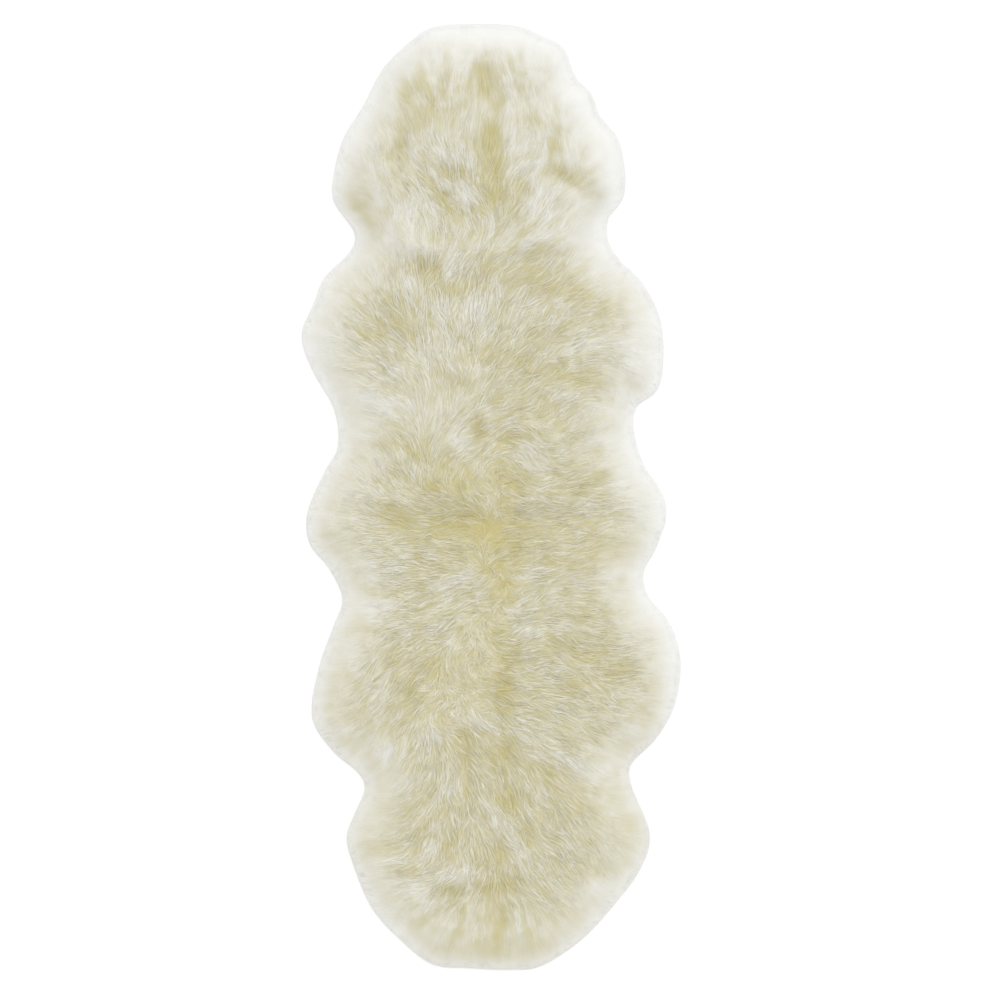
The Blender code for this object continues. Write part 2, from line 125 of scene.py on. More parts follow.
COMBING = tuple(CombRow(*row) for row in (
    (60, ((430, 100), (460, 85), (482, 90), (510, 122), (535, 90))),
    (78, ((415, 95), (433, 105), (455, 70), (472, 65), (492, 105), (515, 120), (572, 40))),
    (95, ((388, 95), (408, 128), (425, 120), (450, 108), (470, 85), (487, 112), (502, 125), (540, 90))),
    (110, ((390, 115), (408, 125), (425, 92), (445, 105), (462, 80), (480, 75), (505, 60), (524, 115))),
    (127, ((370, 145), (392, 120), (410, 102), (430, 95), (452, 58), (467, 68), (488, 80), (513, 88))),
    (127, ((530, 120), (555, 118), (590, 40), (605, 30))),
    (147, ((352, 140), (382, 95), (412, 115), (435, 115), (456, 112), (475, 85), (490, 95), (505, 75))),
    (147, ((527, 50), (545, 85), (568, 110), (595, 60))),
    (165, ((367, 115), (388, 90), (412, 120), (430, 125), (450, 128), (464, 112), (477, 80), (490, 90))),
    (165, ((507, 78), (530, 28), (550, 70), (572, 110), (600, 50))),
    (185, ((360, 142), (380, 95), (396, 150), (415, 112), (435, 128), (449, 130), (466, 118), (490, 92))),
    (185, ((505, 62), (516, 70), (536, 82), (560, 38), (587, 30), (605, 20))),
    (206, ((360, 150), (385, 96), (410, 90), (430, 125), (447, 126), (467, 114), (484, 140), (497, 85))),
    (206, ((510, 60), (522, 64), (540, 88), (560, 58), (580, 50), (603, 40))),
    (226, ((378, 100), (400, 93), (417, 90), (440, 122), (460, 115), (485, 140), (505, 66), (520, 74))),
    (226, ((532, 32), (552, 35), (572, 72), (595, 50))),
    (246, ((378, 132), (400, 126), (420, 118), (437, 62), (453, 64), (475, 42), (495, 40), (515, 30))),
    (246, ((537, 16), (553, 36), (572, 58), (592, 42))),
    (266, ((350, 130), (378, 112), (397, 92), (412, 88), (436, 84), (450, 62), (470, 50), (487, 50))),
    (266, ((510, 36), (530, 26), (550, 42), (572, 40), (600, 35))),
    (286, ((340, 150), (360, 122), (378, 116), (394, 100), (411, 88), (435, 80), (456, 70), (472, 68))),
    (286, ((487, 86), (500, 72), (516, 45), (535, 40), (556, 35), (580, 28), (612, 25))),
    (306, ((350, 138), (372, 140), (391, 122), (411, 106), (430, 96), (446, 98), (461, 90), (475, 88))),
    (306, ((489, 92), (504, 68), (520, 46), (540, 42), (561, 34), (590, 20), (620, 15))),
    (326, ((345, 142), (370, 141), (389, 131), (405, 126), (421, 74), (436, 112), (451, 116), (466, 92))),
    (326, ((483, 98), (500, 60), (520, 45), (541, 42), (562, 32), (590, 20), (622, 8))),
    (346, ((345, 158), (365, 146), (385, 141), (401, 136), (418, 122), (434, 48), (458, 72), (475, 58))),
    (346, ((491, 46), (516, 42), (541, 38), (571, 22), (600, 5), (627, -6), (645, -25))),
    (366, ((350, 170), (370, 152), (391, 150), (406, 140), (421, 108), (440, 150), (462, 163), (490, 40))),
    (366, ((511, 45), (541, 34), (566, 21), (590, 8), (616, 0), (635, -25))),
    (386, ((350, 172), (367, 165), (386, 147), (402, 132), (420, 108), (436, 84), (452, 92), (474, 60))),
    (386, ((491, 45), (515, 30), (541, 25), (564, 18), (592, 5), (612, -30), (635, -48))),
    (407, ((360, 172), (381, 158), (401, 165), (416, 105), (431, 90), (446, 85), (461, 58), (480, 35))),
    (407, ((500, 35), (522, 50), (545, 80), (562, 44), (588, 34), (604, -48), (622, -35))),
    (427, ((352, 180), (376, 152), (396, 162), (415, 130), (431, 78), (446, 58), (464, 25), (482, 22))),
    (427, ((500, 30), (514, 8), (530, -60), (544, -72), (554, 65), (571, 36), (596, 44))),
    (446, ((352, 178), (375, 150), (392, 130), (407, 130), (426, 98), (441, 48), (461, 18), (476, 6))),
    (446, ((491, 62), (507, -32), (526, -26), (545, -45), (561, 14), (581, 10), (603, 20))),
    (465, ((350, 150), (371, 131), (391, 125), (406, 120), (426, 70), (441, 40), (461, 25), (480, 42))),
    (465, ((492, 74), (507, -45), (522, -40), (540, -58), (561, 18), (582, 22), (603, 28))),
    (481, ((352, 142), (376, 134), (396, 120), (411, 110), (430, 92), (444, 170), (460, 32), (482, 148))),
    (481, ((510, -38), (532, 8), (561, 10), (592, 12), (622, 8))),
    (496, ((350, 166), (376, 170), (401, 166), (421, 175), (441, 160), (462, 142), (490, 148), (520, 0))),
    (496, ((551, 5), (581, 10), (611, 0), (637, -10))),
    (512, ((340, 172), (366, 160), (386, 152), (402, 170), (430, 185), (455, 195), (471, 136), (486, 128))),
    (512, ((502, -45), (522, 10), (546, -8), (571, 10), (601, 10), (627, -4))),
    (528, ((350, 185), (376, 176), (401, 176), (421, 180), (446, 196), (471, 205), (496, 40), (531, 10))),
    (528, ((561, 10), (591, 10), (621, 0), (641, -6))),
    (545, ((350, 185), (373, 172), (391, 180), (411, 178), (431, 188), (451, 165), (467, 198), (488, 30))),
    (545, ((507, 20), (531, 10), (561, 10), (591, 20), (612, 22), (641, -18))),
    (562, ((346, 200), (373, 194), (396, 176), (411, 180), (431, 168), (451, 158), (471, 165), (491, 25))),
    (562, ((511, 34), (531, 5), (561, 0), (591, 38), (621, -4))),
    (580, ((360, 195), (383, 188), (401, 180), (421, 176), (446, 200), (471, 205), (490, 202), (511, -55))),
    (580, ((531, 40), (546, 22), (571, 10), (601, 5), (625, -4))),
    (600, ((365, 182), (386, 184), (411, 182), (431, 212), (451, 210), (476, 205), (497, 190), (526, 52))),
    (600, ((550, 30), (563, 14), (581, 2), (601, -8), (627, -8))),
    (615, ((365, 180), (390, 180), (412, 194), (441, 200), (461, 190), (481, 176), (503, -12), (531, 22))),
    (615, ((551, 5), (577, -45), (600, -4), (627, -6))),
    (631, ((360, 186), (381, 186), (406, 190), (431, 200), (451, 192), (468, -38), (486, -30), (502, 0))),
    (631, ((516, 38), (532, 10), (556, -20), (581, -14), (611, -5), (640, -6))),
    (647, ((350, 190), (372, 222), (395, 214), (411, 206), (431, 206), (451, 228), (471, 178), (491, -18))),
    (647, ((515, 32), (531, 0), (554, -34), (576, -16), (601, 4), (625, 0))),
    (666, ((345, 200), (372, 240), (391, 230), (406, 225), (426, 220), (446, 300), (459, 292), (476, 182))),
    (666, ((496, -10), (508, -55), (521, 10), (541, 14), (561, -18), (586, -10), (611, 0), (641, 0))),
    (686, ((350, 212), (374, 235), (391, 234), (408, 250), (430, 190), (447, 340), (466, -10), (491, 8))),
    (686, ((511, -4), (531, 8), (561, -10), (590, -24), (621, -5), (650, -5))),
    (706, ((345, 205), (366, 226), (385, 236), (396, 244), (416, 212), (441, 190), (461, 186), (486, -5))),
    (706, ((506, -30), (526, 4), (546, -24), (566, -10), (591, -14), (621, -8), (651, -18))),
    (722, ((346, 200), (366, 226), (386, 240), (402, 250), (431, 315), (447, 340), (466, -30), (486, -40))),
    (722, ((506, -42), (526, -20), (546, -25), (571, -22), (601, -20), (632, -20))),
    (739, ((360, 216), (386, 250), (406, 246), (421, 238), (431, 272), (446, 305), (466, -42), (486, -40))),
    (739, ((506, -42), (531, -30), (556, -25), (586, -22), (616, -25), (637, -30))),
    (756, ((370, 228), (388, 258), (401, 240), (416, 246), (431, 262), (448, 300), (461, 296), (481, -50))),
    (756, ((505, -62), (521, -46), (546, -34), (571, -30), (601, -28), (621, -20))),
    (773, ((390, 202), (413, 244), (431, 242), (447, 264), (465, 272), (481, -55), (496, -46), (516, -60))),
    (773, ((541, -50), (566, -40), (591, -38), (609, -18), (624, -10))),
    (790, ((385, 196), (401, 206), (416, 230), (431, 244), (450, 260), (465, 272), (481, -42), (501, -50))),
    (790, ((520, -75), (541, -54), (566, -40), (591, -40), (615, -25))),
    (808, ((375, 180), (391, 192), (406, 215), (426, 240), (441, 254), (456, 264), (471, 280), (486, -55))),
    (808, ((501, -50), (520, -66), (546, -50), (576, -54), (601, -40), (622, -25))),
    (826, ((368, 192), (384, 208), (399, 228), (413, 236), (431, 246), (451, 262), (471, 272), (486, -70))),
    (826, ((501, -60), (516, -64), (531, -60), (556, -64), (581, -50), (606, -38), (631, -25))),
    (842, ((370, 210), (388, 216), (406, 228), (426, 236), (446, 284), (461, 275), (480, 270), (496, -42))),
    (842, ((509, -45), (518, -74), (536, -64), (556, -45), (581, -50), (606, -52), (627, -42))),
    (858, ((375, 208), (390, 190), (406, 184), (421, 202), (437, 240), (451, 285), (471, 270), (489, 285))),
    (858, ((505, -84), (526, -60), (546, -50), (566, -40), (591, -62), (612, -58))),
    (873, ((380, 190), (397, 165), (411, 194), (431, 182), (451, 212), (467, 246), (485, 272), (505, -80))),
    (873, ((526, -50), (546, -45), (571, -38), (591, -44), (613, -35))),
    (889, ((388, 200), (411, 186), (427, 176), (440, 285), (456, 216), (471, 226), (488, 246), (506, -45))),
    (889, ((521, -32), (541, -44), (561, -35), (581, -30), (600, -48))),
    (903, ((405, 210), (416, 296), (429, 196), (446, 222), (461, 242), (476, 270), (491, 270), (506, -80))),
    (903, ((526, -65), (546, -50), (571, -50), (595, -44))),
    (921, ((425, 236), (441, 232), (456, 246), (476, 268), (491, 270), (516, -85), (536, -68), (561, -58))),
    (921, ((580, -45),)),
    (940, ((430, 240), (455, 255), (480, 269), (502, 270), (531, -78), (551, -62))),
))
STROKE_WIDTH = 23 * MM
RIM_COMB_DEPTH = 26 * MM
RIM_COMB_PULL = 1.1

# Hollows and tufts, read off as well: a long soft oval on the wool, with its middle, its half
# sizes in pixels, its heading in degrees, and how far the wool there rises (or, below 0, sinks).

Swell = namedtuple("Swell", "place photo_x photo_y half_length half_width heading rise")


def swell_table(*rows):
    """The rows of a table as swells."""
    return tuple(Swell(*row) for row in rows)


HOLLOWS = swell_table(
    ("crown", 482, 72, 9, 8, 90, -12 * MM),
    ("crown", 488, 90, 11, 9, 90, -7 * MM),
    ("left brow", 408, 92, 12, 10, 45, -6 * MM),
    ("left brow", 421, 117, 12, 11, 60, -8 * MM),
    ("left brow", 400, 146, 11, 7, 75, -11 * MM),
    ("head parting", 490, 150, 30, 9, 88, -12 * MM),
    ("head parting", 497, 188, 20, 9, 75, -9 * MM),
    ("head left", 452, 175, 15, 7, -20, -11 * MM),
    ("head left", 442, 198, 26, 6, -45, -11 * MM),
    ("head left", 482, 212, 8, 7, 0, -8 * MM),
    ("head right", 512, 208, 14, 9, 60, -8 * MM),
    ("head right", 519, 182, 9, 8, 90, -7 * MM),
    ("head right", 558, 142, 11, 9, 90, -7 * MM),
    ("head right", 556, 175, 13, 9, -20, -12 * MM),
    ("right waist", 588, 190, 26, 8, -28, -8 * MM),
    ("right waist", 534, 229, 11, 6, 20, -5 * MM),
    ("left waist", 362, 218, 16, 8, -60, -7 * MM),
    ("under the fringe", 425, 270, 12, 10, -45, -11 * MM),
    ("under the fringe", 390, 263, 9, 8, 0, -4 * MM),
    ("under the fringe", 458, 290, 18, 8, 0, -7 * MM),
    ("shoulder right", 520, 270, 45, 20, 0, -5 * MM),
    ("shoulder right", 572, 292, 34, 9, -18, -7 * MM),
    ("shoulder right", 607, 318, 15, 10, 0, -6 * MM),
    ("shoulder right", 555, 338, 24, 7, 25, -6 * MM),
    ("shoulder left", 372, 328, 15, 14, 0, -6 * MM),
    ("shoulder left", 405, 330, 18, 10, -60, -8 * MM),
    ("shoulder middle", 486, 350, 11, 8, 0, -5 * MM),
    ("shoulder middle", 520, 363, 15, 9, 30, -6 * MM),
    ("shoulder middle", 455, 383, 10, 6, 0, -6 * MM),
    ("shoulder right", 575, 380, 36, 9, -8, -8 * MM),
    ("right waist", 641, 392, 9, 8, -40, -6 * MM),
    ("whorl", 479, 434, 8, 11, 0, -12 * MM),
    ("whorl", 509, 441, 11, 8, 0, -13 * MM),
    ("neck right", 530, 408, 30, 7, 0, -4 * MM),
    ("neck left", 405, 446, 18, 8, -15, -7 * MM),
    ("neck left", 441, 461, 15, 6, -10, -7 * MM),
    ("neck middle", 430, 487, 9, 8, 0, -6 * MM),
    ("neck middle", 461, 490, 9, 13, 0, -6 * MM),
    ("neck middle", 508, 481, 17, 12, 0, -7 * MM),
    ("neck right", 574, 487, 12, 10, 0, -6 * MM),
    ("neck right", 598, 478, 12, 14, 0, -8 * MM),
    ("cross seam", 392, 512, 14, 8, 0, -6 * MM),
    ("cross seam", 500, 524, 110, 9, 0, -3 * MM),
    ("cross seam", 465, 526, 40, 9, 0, -5 * MM),
    ("belly right", 615, 545, 24, 10, 10, -6 * MM),
    ("belly middle", 504, 558, 16, 24, 0, -3 * MM),
    ("belly middle", 500, 588, 13, 16, 0, -5 * MM),
    ("belly right", 553, 561, 22, 6, -10, -5 * MM),
    ("belly left", 405, 588, 30, 9, 0, -4 * MM),
    ("belly right", 592, 617, 17, 12, 0, -6 * MM),
    ("spine", 503, 640, 10, 20, 0, -6 * MM),
    ("rump left", 425, 664, 18, 14, 0, -6 * MM),
    ("rump right", 570, 650, 34, 10, -10, -5 * MM),
    ("rump right", 621, 670, 15, 11, 0, -6 * MM),
    ("spine", 505, 690, 10, 15, 0, -9 * MM),
    ("rump left", 408, 694, 14, 14, 0, -7 * MM),
    ("rump right", 575, 685, 24, 8, 0, -5 * MM),
    ("rump middle", 464, 737, 14, 8, 0, -8 * MM),
    ("rump middle", 468, 758, 6, 14, 0, -7 * MM),
    ("spine", 503, 750, 9, 14, 0, -7 * MM),
    ("rump right", 545, 772, 24, 11, -20, -5 * MM),
    ("rump right", 592, 735, 12, 9, 0, -4 * MM),
    ("spine", 508, 799, 13, 10, -45, -11 * MM),
    ("thigh left", 472, 790, 7, 11, 0, -8 * MM),
    ("thigh right", 570, 812, 26, 9, 0, -6 * MM),
    ("thigh left", 410, 812, 13, 11, 0, -6 * MM),
    ("thigh right", 526, 832, 8, 12, 0, -7 * MM),
    ("foot left", 390, 848, 18, 6, 0, -7 * MM),
    ("foot left", 405, 869, 15, 6, -8, -8 * MM),
    ("foot left", 446, 852, 6, 13, 0, -6 * MM),
    ("foot middle", 482, 863, 13, 8, 0, -9 * MM),
    ("foot middle", 500, 850, 10, 6, -40, -8 * MM),
    ("foot middle", 502, 884, 16, 7, 0, -10 * MM),
    ("foot left", 450, 889, 9, 6, -20, -8 * MM),
    ("foot right", 595, 868, 16, 7, 0, -7 * MM),
    ("foot right", 545, 915, 25, 10, 0, -3 * MM),
    ("foot middle", 492, 930, 8, 30, 0, -3 * MM),
)

TUFTS = swell_table(
    ("brow tuft", 431, 72, 10, 7, 75, 7 * MM),
    ("brow tuft", 388, 96, 14, 9, 80, 4 * MM),
    ("brow tuft", 407, 103, 7, 5, -50, 4 * MM),
    ("head left", 413, 152, 15, 8, -65, 6 * MM),
    ("head middle", 461, 157, 14, 8, 0, 8 * MM),
    ("head right", 512, 118, 22, 9, 88, 7 * MM),
    ("head right", 541, 195, 26, 12, 88, 8 * MM),
    ("head right", 530, 165, 16, 6, 20, 5 * MM),
    ("head left", 466, 197, 14, 6, -65, 7 * MM),
    ("head left", 449, 187, 8, 4, -45, 6 * MM),
    ("head left", 413, 215, 16, 12, 90, 6 * MM),
    ("head middle", 491, 222, 14, 6, -80, 8 * MM),
    ("fringe", 400, 250, 12, 9, -45, 7 * MM),
    ("fringe", 428, 252, 12, 7, 0, 5 * MM),
    ("fringe", 455, 260, 16, 6, 62, 7 * MM),
    ("fringe", 479, 248, 12, 6, 35, 6 * MM),
    ("fringe", 533, 240, 18, 4, 12, 5 * MM),
    ("shoulder left", 411, 283, 14, 7, 88, 6 * MM),
    ("shoulder middle", 478, 315, 18, 14, 88, 7 * MM),
    ("shoulder middle", 442, 318, 16, 9, 100, 4 * MM),
    ("shoulder left", 392, 331, 11, 5, -45, 5 * MM),
    ("shoulder left", 435, 353, 20, 9, 15, 7 * MM),
    ("shoulder left", 391, 369, 17, 8, -30, 6 * MM),
    ("shoulder middle", 466, 369, 13, 5, -12, 4 * MM),
    ("neck left", 385, 405, 38, 12, -8, 6 * MM),
    ("neck left", 436, 415, 14, 18, 0, 3 * MM),
    ("neck middle", 461, 443, 18, 9, 5, 8 * MM),
    ("neck right", 526, 452, 19, 8, -18, 8 * MM),
    ("shoulder right", 600, 344, 34, 9, 0, 5 * MM),
    ("shoulder right", 630, 362, 14, 12, 0, 5 * MM),
    ("shoulder right", 622, 397, 14, 8, -30, 5 * MM),
    ("shoulder right", 560, 392, 13, 5, 12, 4 * MM),
    ("neck left", 370, 494, 22, 6, -8, 5 * MM),
    ("neck middle", 488, 508, 12, 5, -40, 5 * MM),
    ("belly left", 390, 563, 20, 13, 0, 6 * MM),
    ("belly left", 355, 526, 18, 10, 0, 4 * MM),
    ("belly left", 445, 585, 32, 9, 12, 6 * MM),
    ("belly right", 525, 572, 26, 6, 8, 5 * MM),
    ("belly middle", 516, 611, 14, 7, 20, 8 * MM),
    ("belly middle", 521, 634, 12, 8, 30, 6 * MM),
    ("belly left", 380, 606, 20, 10, 0, 5 * MM),
    ("rump left", 345, 648, 14, 10, 0, 4 * MM),
    ("rump left", 379, 688, 10, 7, 60, 7 * MM),
    ("rump left", 350, 730, 16, 9, 20, 5 * MM),
    ("rump left", 387, 748, 10, 7, 70, 7 * MM),
    ("rump left", 430, 735, 16, 10, 80, 6 * MM),
    ("rump middle", 480, 722, 22, 7, -30, 6 * MM),
    ("rump right", 556, 754, 34, 7, -28, 8 * MM),
    ("rump right", 633, 733, 11, 9, -20, 5 * MM),
    ("rump right", 560, 665, 22, 6, -8, 3 * MM),
    ("thigh left", 446, 783, 12, 8, 80, 6 * MM),
    ("thigh right", 612, 770, 14, 9, -15, 4 * MM),
    ("thigh middle", 487, 803, 16, 6, -50, 5 * MM),
    ("thigh middle", 514, 835, 28, 6, -56, 9 * MM),
    ("foot left", 432, 846, 8, 7, 0, 6 * MM),
    ("foot left", 392, 858, 16, 4, 8, 7 * MM),
    ("foot middle", 458, 872, 32, 8, 5, 8 * MM),
    ("foot left", 418, 893, 13, 8, -25, 8 * MM),
    ("foot right", 601, 890, 15, 9, -40, 7 * MM),
    ("foot middle", 472, 908, 12, 8, 90, 5 * MM),
    ("foot right", 560, 935, 18, 10, -35, 3 * MM),
)

# Where the wool is painted whiter or, below 0, darker and yellower. Much of it is painted light and shade:
# whiter rims on the crown and the right side, toward the lamp, darker rims at the thighs and the foot,
# darker on the head's left, and painted shade in the waists, the cross seam, the spine and the head
# parting. The rest is whiter over the head and yellower over the rear and the neck.
LIGHT_AND_TONES = swell_table(
    ("crown rim", 495, 24, 85, 20, 0, 0.34),
    ("right brow rim", 594, 105, 75, 20, -62, 0.30),
    ("right brow rim", 618, 185, 30, 14, 90, 0.24),
    ("left brow rim", 358, 130, 80, 16, 60, 0.14),
    ("right waist rim", 604, 240, 22, 20, -60, 0.24),
    ("shoulder right rim", 660, 345, 75, 20, 90, 0.20),
    ("shoulder left rim", 322, 350, 70, 16, 90, 0.12),
    ("neck right rim", 642, 450, 55, 20, 90, 0.20),
    ("belly right rim", 660, 535, 45, 12, 90, 0.10),
    ("belly right rim", 646, 595, 25, 16, 90, 0.16),
    ("rump right rim", 674, 655, 50, 14, 90, 0.20),
    ("thigh right rim", 645, 790, 80, 22, 90, -0.16),
    ("thigh left rim", 345, 790, 90, 20, 90, -0.13),
    ("foot rim", 480, 955, 110, 30, 0, -0.13),
    ("crown", 495, 45, 75, 18, 0, 0.08),
    ("head", 490, 165, 130, 100, 0, 0.07),
    ("head left", 410, 105, 60, 30, 60, -0.08),
    ("head right", 565, 110, 50, 26, -70, 0.05),
    ("rear", 485, 740, 190, 130, 90, -0.045),
    ("left waist", 357, 214, 20, 9, -60, -0.18),
    ("right waist", 642, 386, 10, 8, -40, -0.12),
    ("cross seam", 480, 536, 50, 18, -12, -0.09),
    ("cross seam", 475, 540, 140, 30, 0, -0.08),
    ("spine", 503, 600, 70, 14, 90, -0.03),
    ("spine", 506, 730, 90, 12, 90, -0.08),
    ("spine", 496, 925, 30, 9, 90, -0.08),
    ("head parting", 492, 165, 50, 11, 90, -0.14),
    ("neck middle", 455, 490, 40, 22, 0, -0.08),
)

# Where the wool is soft and cloudy, with few separate hairs: 1 is wholly so.
SOFT_PLACES = swell_table(
    ("head", 480, 60, 110, 45, 0, 0.55),
    ("head", 480, 125, 110, 30, 0, 0.45),
    ("head right", 565, 180, 45, 45, 0, 0.45),
    ("head left", 385, 200, 40, 25, 90, 0.4),
    ("waist", 480, 245, 120, 22, 0, 0.3),
    ("shoulder right", 610, 310, 60, 40, 90, 0.3),
    ("shoulder middle", 445, 395, 30, 22, 0, 0.35),
    ("neck left", 365, 425, 45, 22, 0, 0.4),
    ("neck middle", 440, 435, 25, 20, 0, 0.3),
    ("right side", 610, 440, 50, 50, 90, 0.35),
    ("belly right", 600, 590, 45, 45, 90, 0.35),
    ("belly left", 365, 595, 30, 18, 90, 0.4),
    ("thigh left", 380, 735, 50, 22, 90, 0.3),
    ("thigh right", 600, 790, 40, 35, 0, 0.3),
    ("foot", 480, 925, 110, 26, 0, 0.6),
)

# ---------------------------------------------------------------------------------------------
# What a user would change


class CoatSettings(bpy.types.PropertyGroup):
    pitch: FloatProperty(
        name="Strand Spacing", description="Distance between roots", default=5.6 * MM, unit="LENGTH"
    )
    rim_pitch: FloatProperty(
        name="Rim Spacing", description="Distance between roots at the rim", default=4.2 * MM, unit="LENGTH"
    )
    reach: FloatProperty(
        name="Reach", description="How far a strand lies along the rug", default=35 * MM, unit="LENGTH"
    )
    radius: FloatProperty(
        name="Radius", description="Half a strand's thickness", default=1.2 * MM, unit="LENGTH"
    )
    lift: FloatProperty(
        name="Lift", description="How far a strand stands off the fleece", default=0.42 * MM, unit="LENGTH"
    )
    gather: FloatProperty(
        name="Gather", description="How far a tuft's tips draw together", default=0.42, subtype="FACTOR"
    )
    crimp: FloatProperty(
        name="Crimp", description="Sideways swing of a strand's waves", default=0.5 * MM, unit="LENGTH"
    )
    crimp_length: FloatProperty(
        name="Crimp Length", description="Length of one wave", default=40 * MM, unit="LENGTH"
    )
    # Partly the tip's own paler wool, partly painted light: the root end is painted darker and yellower as
    # shade.
    whiter_tip: FloatProperty(
        name="Whiter Tip", description="How much whiter the tip is than the root", default=0.18
    )


class LockSettings(bpy.types.PropertyGroup):
    pitch: FloatProperty(
        name="Strand Spacing", description="Distance between roots", default=9.3 * MM, unit="LENGTH"
    )
    reach: FloatProperty(
        name="Reach", description="How far a strand lies along the rug", default=34 * MM, unit="LENGTH"
    )
    radius: FloatProperty(
        name="Radius", description="Half a strand's thickness", default=0.9 * MM, unit="LENGTH"
    )
    lift: FloatProperty(
        name="Lift", description="How far a strand stands off the fleece", default=1.0 * MM, unit="LENGTH"
    )
    gather: FloatProperty(
        name="Gather", description="How far a tuft's tips draw together", default=0.6, subtype="FACTOR"
    )
    crimp: FloatProperty(
        name="Crimp", description="Sideways swing of a strand's waves", default=1.0 * MM, unit="LENGTH"
    )
    crimp_length: FloatProperty(
        name="Crimp Length", description="Length of one wave", default=26 * MM, unit="LENGTH"
    )
    # Partly the tip's own paler wool, partly painted light: the root end is painted darker and yellower as
    # shade.
    whiter_tip: FloatProperty(
        name="Whiter Tip", description="How much whiter the tip is than the root", default=0.26
    )


class FleeceSettings(bpy.types.PropertyGroup):
    tuft_pitch: FloatProperty(
        name="Tuft Spacing", description="Distance from tuft to tuft", default=17 * MM, unit="LENGTH"
    )
    turn: FloatProperty(
        name="Turn", description="A tuft's turn off the combing", default=math.radians(14), unit="ROTATION"
    )
    clump_pitch: FloatProperty(
        name="Clump Spacing", description="Distance between clumps of tufts", default=34 * MM, unit="LENGTH"
    )
    clump_rise: FloatProperty(
        name="Clump Rise", description="How far a clump's tips stand up", default=0.4 * MM, unit="LENGTH"
    )
    # Painted light: a clump is painted whiter where its tips stand up and darker and yellower at its low
    # roots.
    clump_light: FloatProperty(
        name="Clump Tint", description="How much whiter a clump's tips are than its middle", default=0.035
    )
    ridges: FloatProperty(
        name="Ridges", description="Height of the combed ridges", default=0.12 * MM, unit="LENGTH"
    )
    grooves: FloatProperty(
        name="Grooves", description="Height of the fine grooves", default=0.04 * MM, unit="LENGTH"
    )
    facet: FloatProperty(
        name="Facet", description="How far a strand's roundness shades it", default=0.05, subtype="FACTOR"
    )
    flatness: FloatProperty(
        name="Flatness", description="A strand's height over its width", default=0.16, subtype="FACTOR"
    )
    # Painted light and shade: a strand's top is painted whiter and its sides darker and yellower, as shade
    # falls on them.
    crest_light: FloatProperty(
        name="Crest", description="How much whiter its top is than its sides", default=0.27
    )
    # Painted shade: the felt lies deeper than the strands and is painted darker and yellower.
    depth_shade: FloatProperty(
        name="Depth Tint", description="How much yellower the felted wool is than the strands", default=0.05
    )
    yellowed: FloatVectorProperty(
        name="Yellowed", description="Wool in the partings", default=(0.64, 0.555, 0.235), subtype="COLOR"
    )
    ivory: FloatVectorProperty(
        name="Ivory", description="Wool in the hollows", default=(0.705, 0.66, 0.44), subtype="COLOR"
    )
    cream: FloatVectorProperty(
        name="Cream", description="Most of the wool", default=(0.87, 0.855, 0.765), subtype="COLOR"
    )
    white: FloatVectorProperty(
        name="White", description="The rim and bright tips", default=(0.98, 0.98, 0.95), subtype="COLOR"
    )
    seed: IntProperty(name="Seed", description="Start of the random draws", default=11)


class HideSettings(bpy.types.PropertyGroup):
    suede: FloatVectorProperty(
        name="Suede", description="The hide's flesh side", default=(0.60, 0.47, 0.30), subtype="COLOR"
    )
    suede_dark: FloatVectorProperty(
        name="Suede Shadow", description="Its rubbed places", default=(0.43, 0.31, 0.18), subtype="COLOR"
    )
    raised: FloatProperty(
        name="Raised", description="How far the hide lies off the floor", default=0.7 * MM, unit="LENGTH"
    )
    edge: FloatProperty(
        name="Edge", description="Rounding of the cut edge", default=0.45 * MM, unit="LENGTH"
    )
    stitch_pitch: FloatProperty(
        name="Stitch Pitch", description="Distance between stitches", default=4 * MM, unit="LENGTH"
    )
    stitch_length: FloatProperty(
        name="Stitch Length", description="How far a stitch crosses the seam", default=7 * MM, unit="LENGTH"
    )
    thread: FloatProperty(
        name="Thread", description="Thickness of the thread", default=0.9 * MM, unit="LENGTH"
    )
    thread_colour: FloatVectorProperty(
        name="Thread Colour", description="The seam's thread", default=(0.72, 0.66, 0.52), subtype="COLOR"
    )


class StageSettings(bpy.types.PropertyGroup):
    floor: FloatVectorProperty(
        name="Floor", description="Colour of the floor", default=(0.99, 0.99, 0.99), subtype="COLOR"
    )
    sky: FloatProperty(name="Sky", description="Strength of the even light", default=0.95)
    lamp: FloatProperty(name="Lamp", description="Strength of the light from one side", default=0.5)
    lamp_spread: FloatProperty(
        name="Lamp Spread", description="How wide the lamp is", default=math.radians(40), unit="ROTATION"
    )
    lamp_heading: FloatProperty(
        name="Lamp Heading", description="Where the lamp stands", default=math.radians(68), unit="ROTATION"
    )
    lamp_height: FloatProperty(
        name="Lamp Height", description="Angle above the floor", default=math.radians(42), unit="ROTATION"
    )
    camera_height: FloatProperty(
        name="Camera Height", description="From the floor to the camera", default=8.0, unit="LENGTH"
    )


# ---------------------------------------------------------------------------------------------
# How the wool lies


def on_rug(photo_x, photo_y):
    """A place in the photograph as a place on the rug."""
    return (photo_x - PHOTO_ORIGIN[0]) * PIXEL, (PHOTO_ORIGIN[1] - photo_y) * PIXEL


def eased(value, low, high):
    """0 up to low, 1 from high on, and a smooth rise between."""
    t = np.clip((value - low) / (high - low), 0, 1)
    return t * t * (3 - 2 * t)


def softened(field, rounds):
    """The field with each cell made the mean of the 3 by 3 round it, so many times."""
    rows, columns = field.shape
    for _ in range(rounds):
        wide = np.pad(field, 1, mode="edge")
        field = sum(wide[r:r + rows, c:c + columns] for r in range(3) for c in range(3)) / 9
    return field


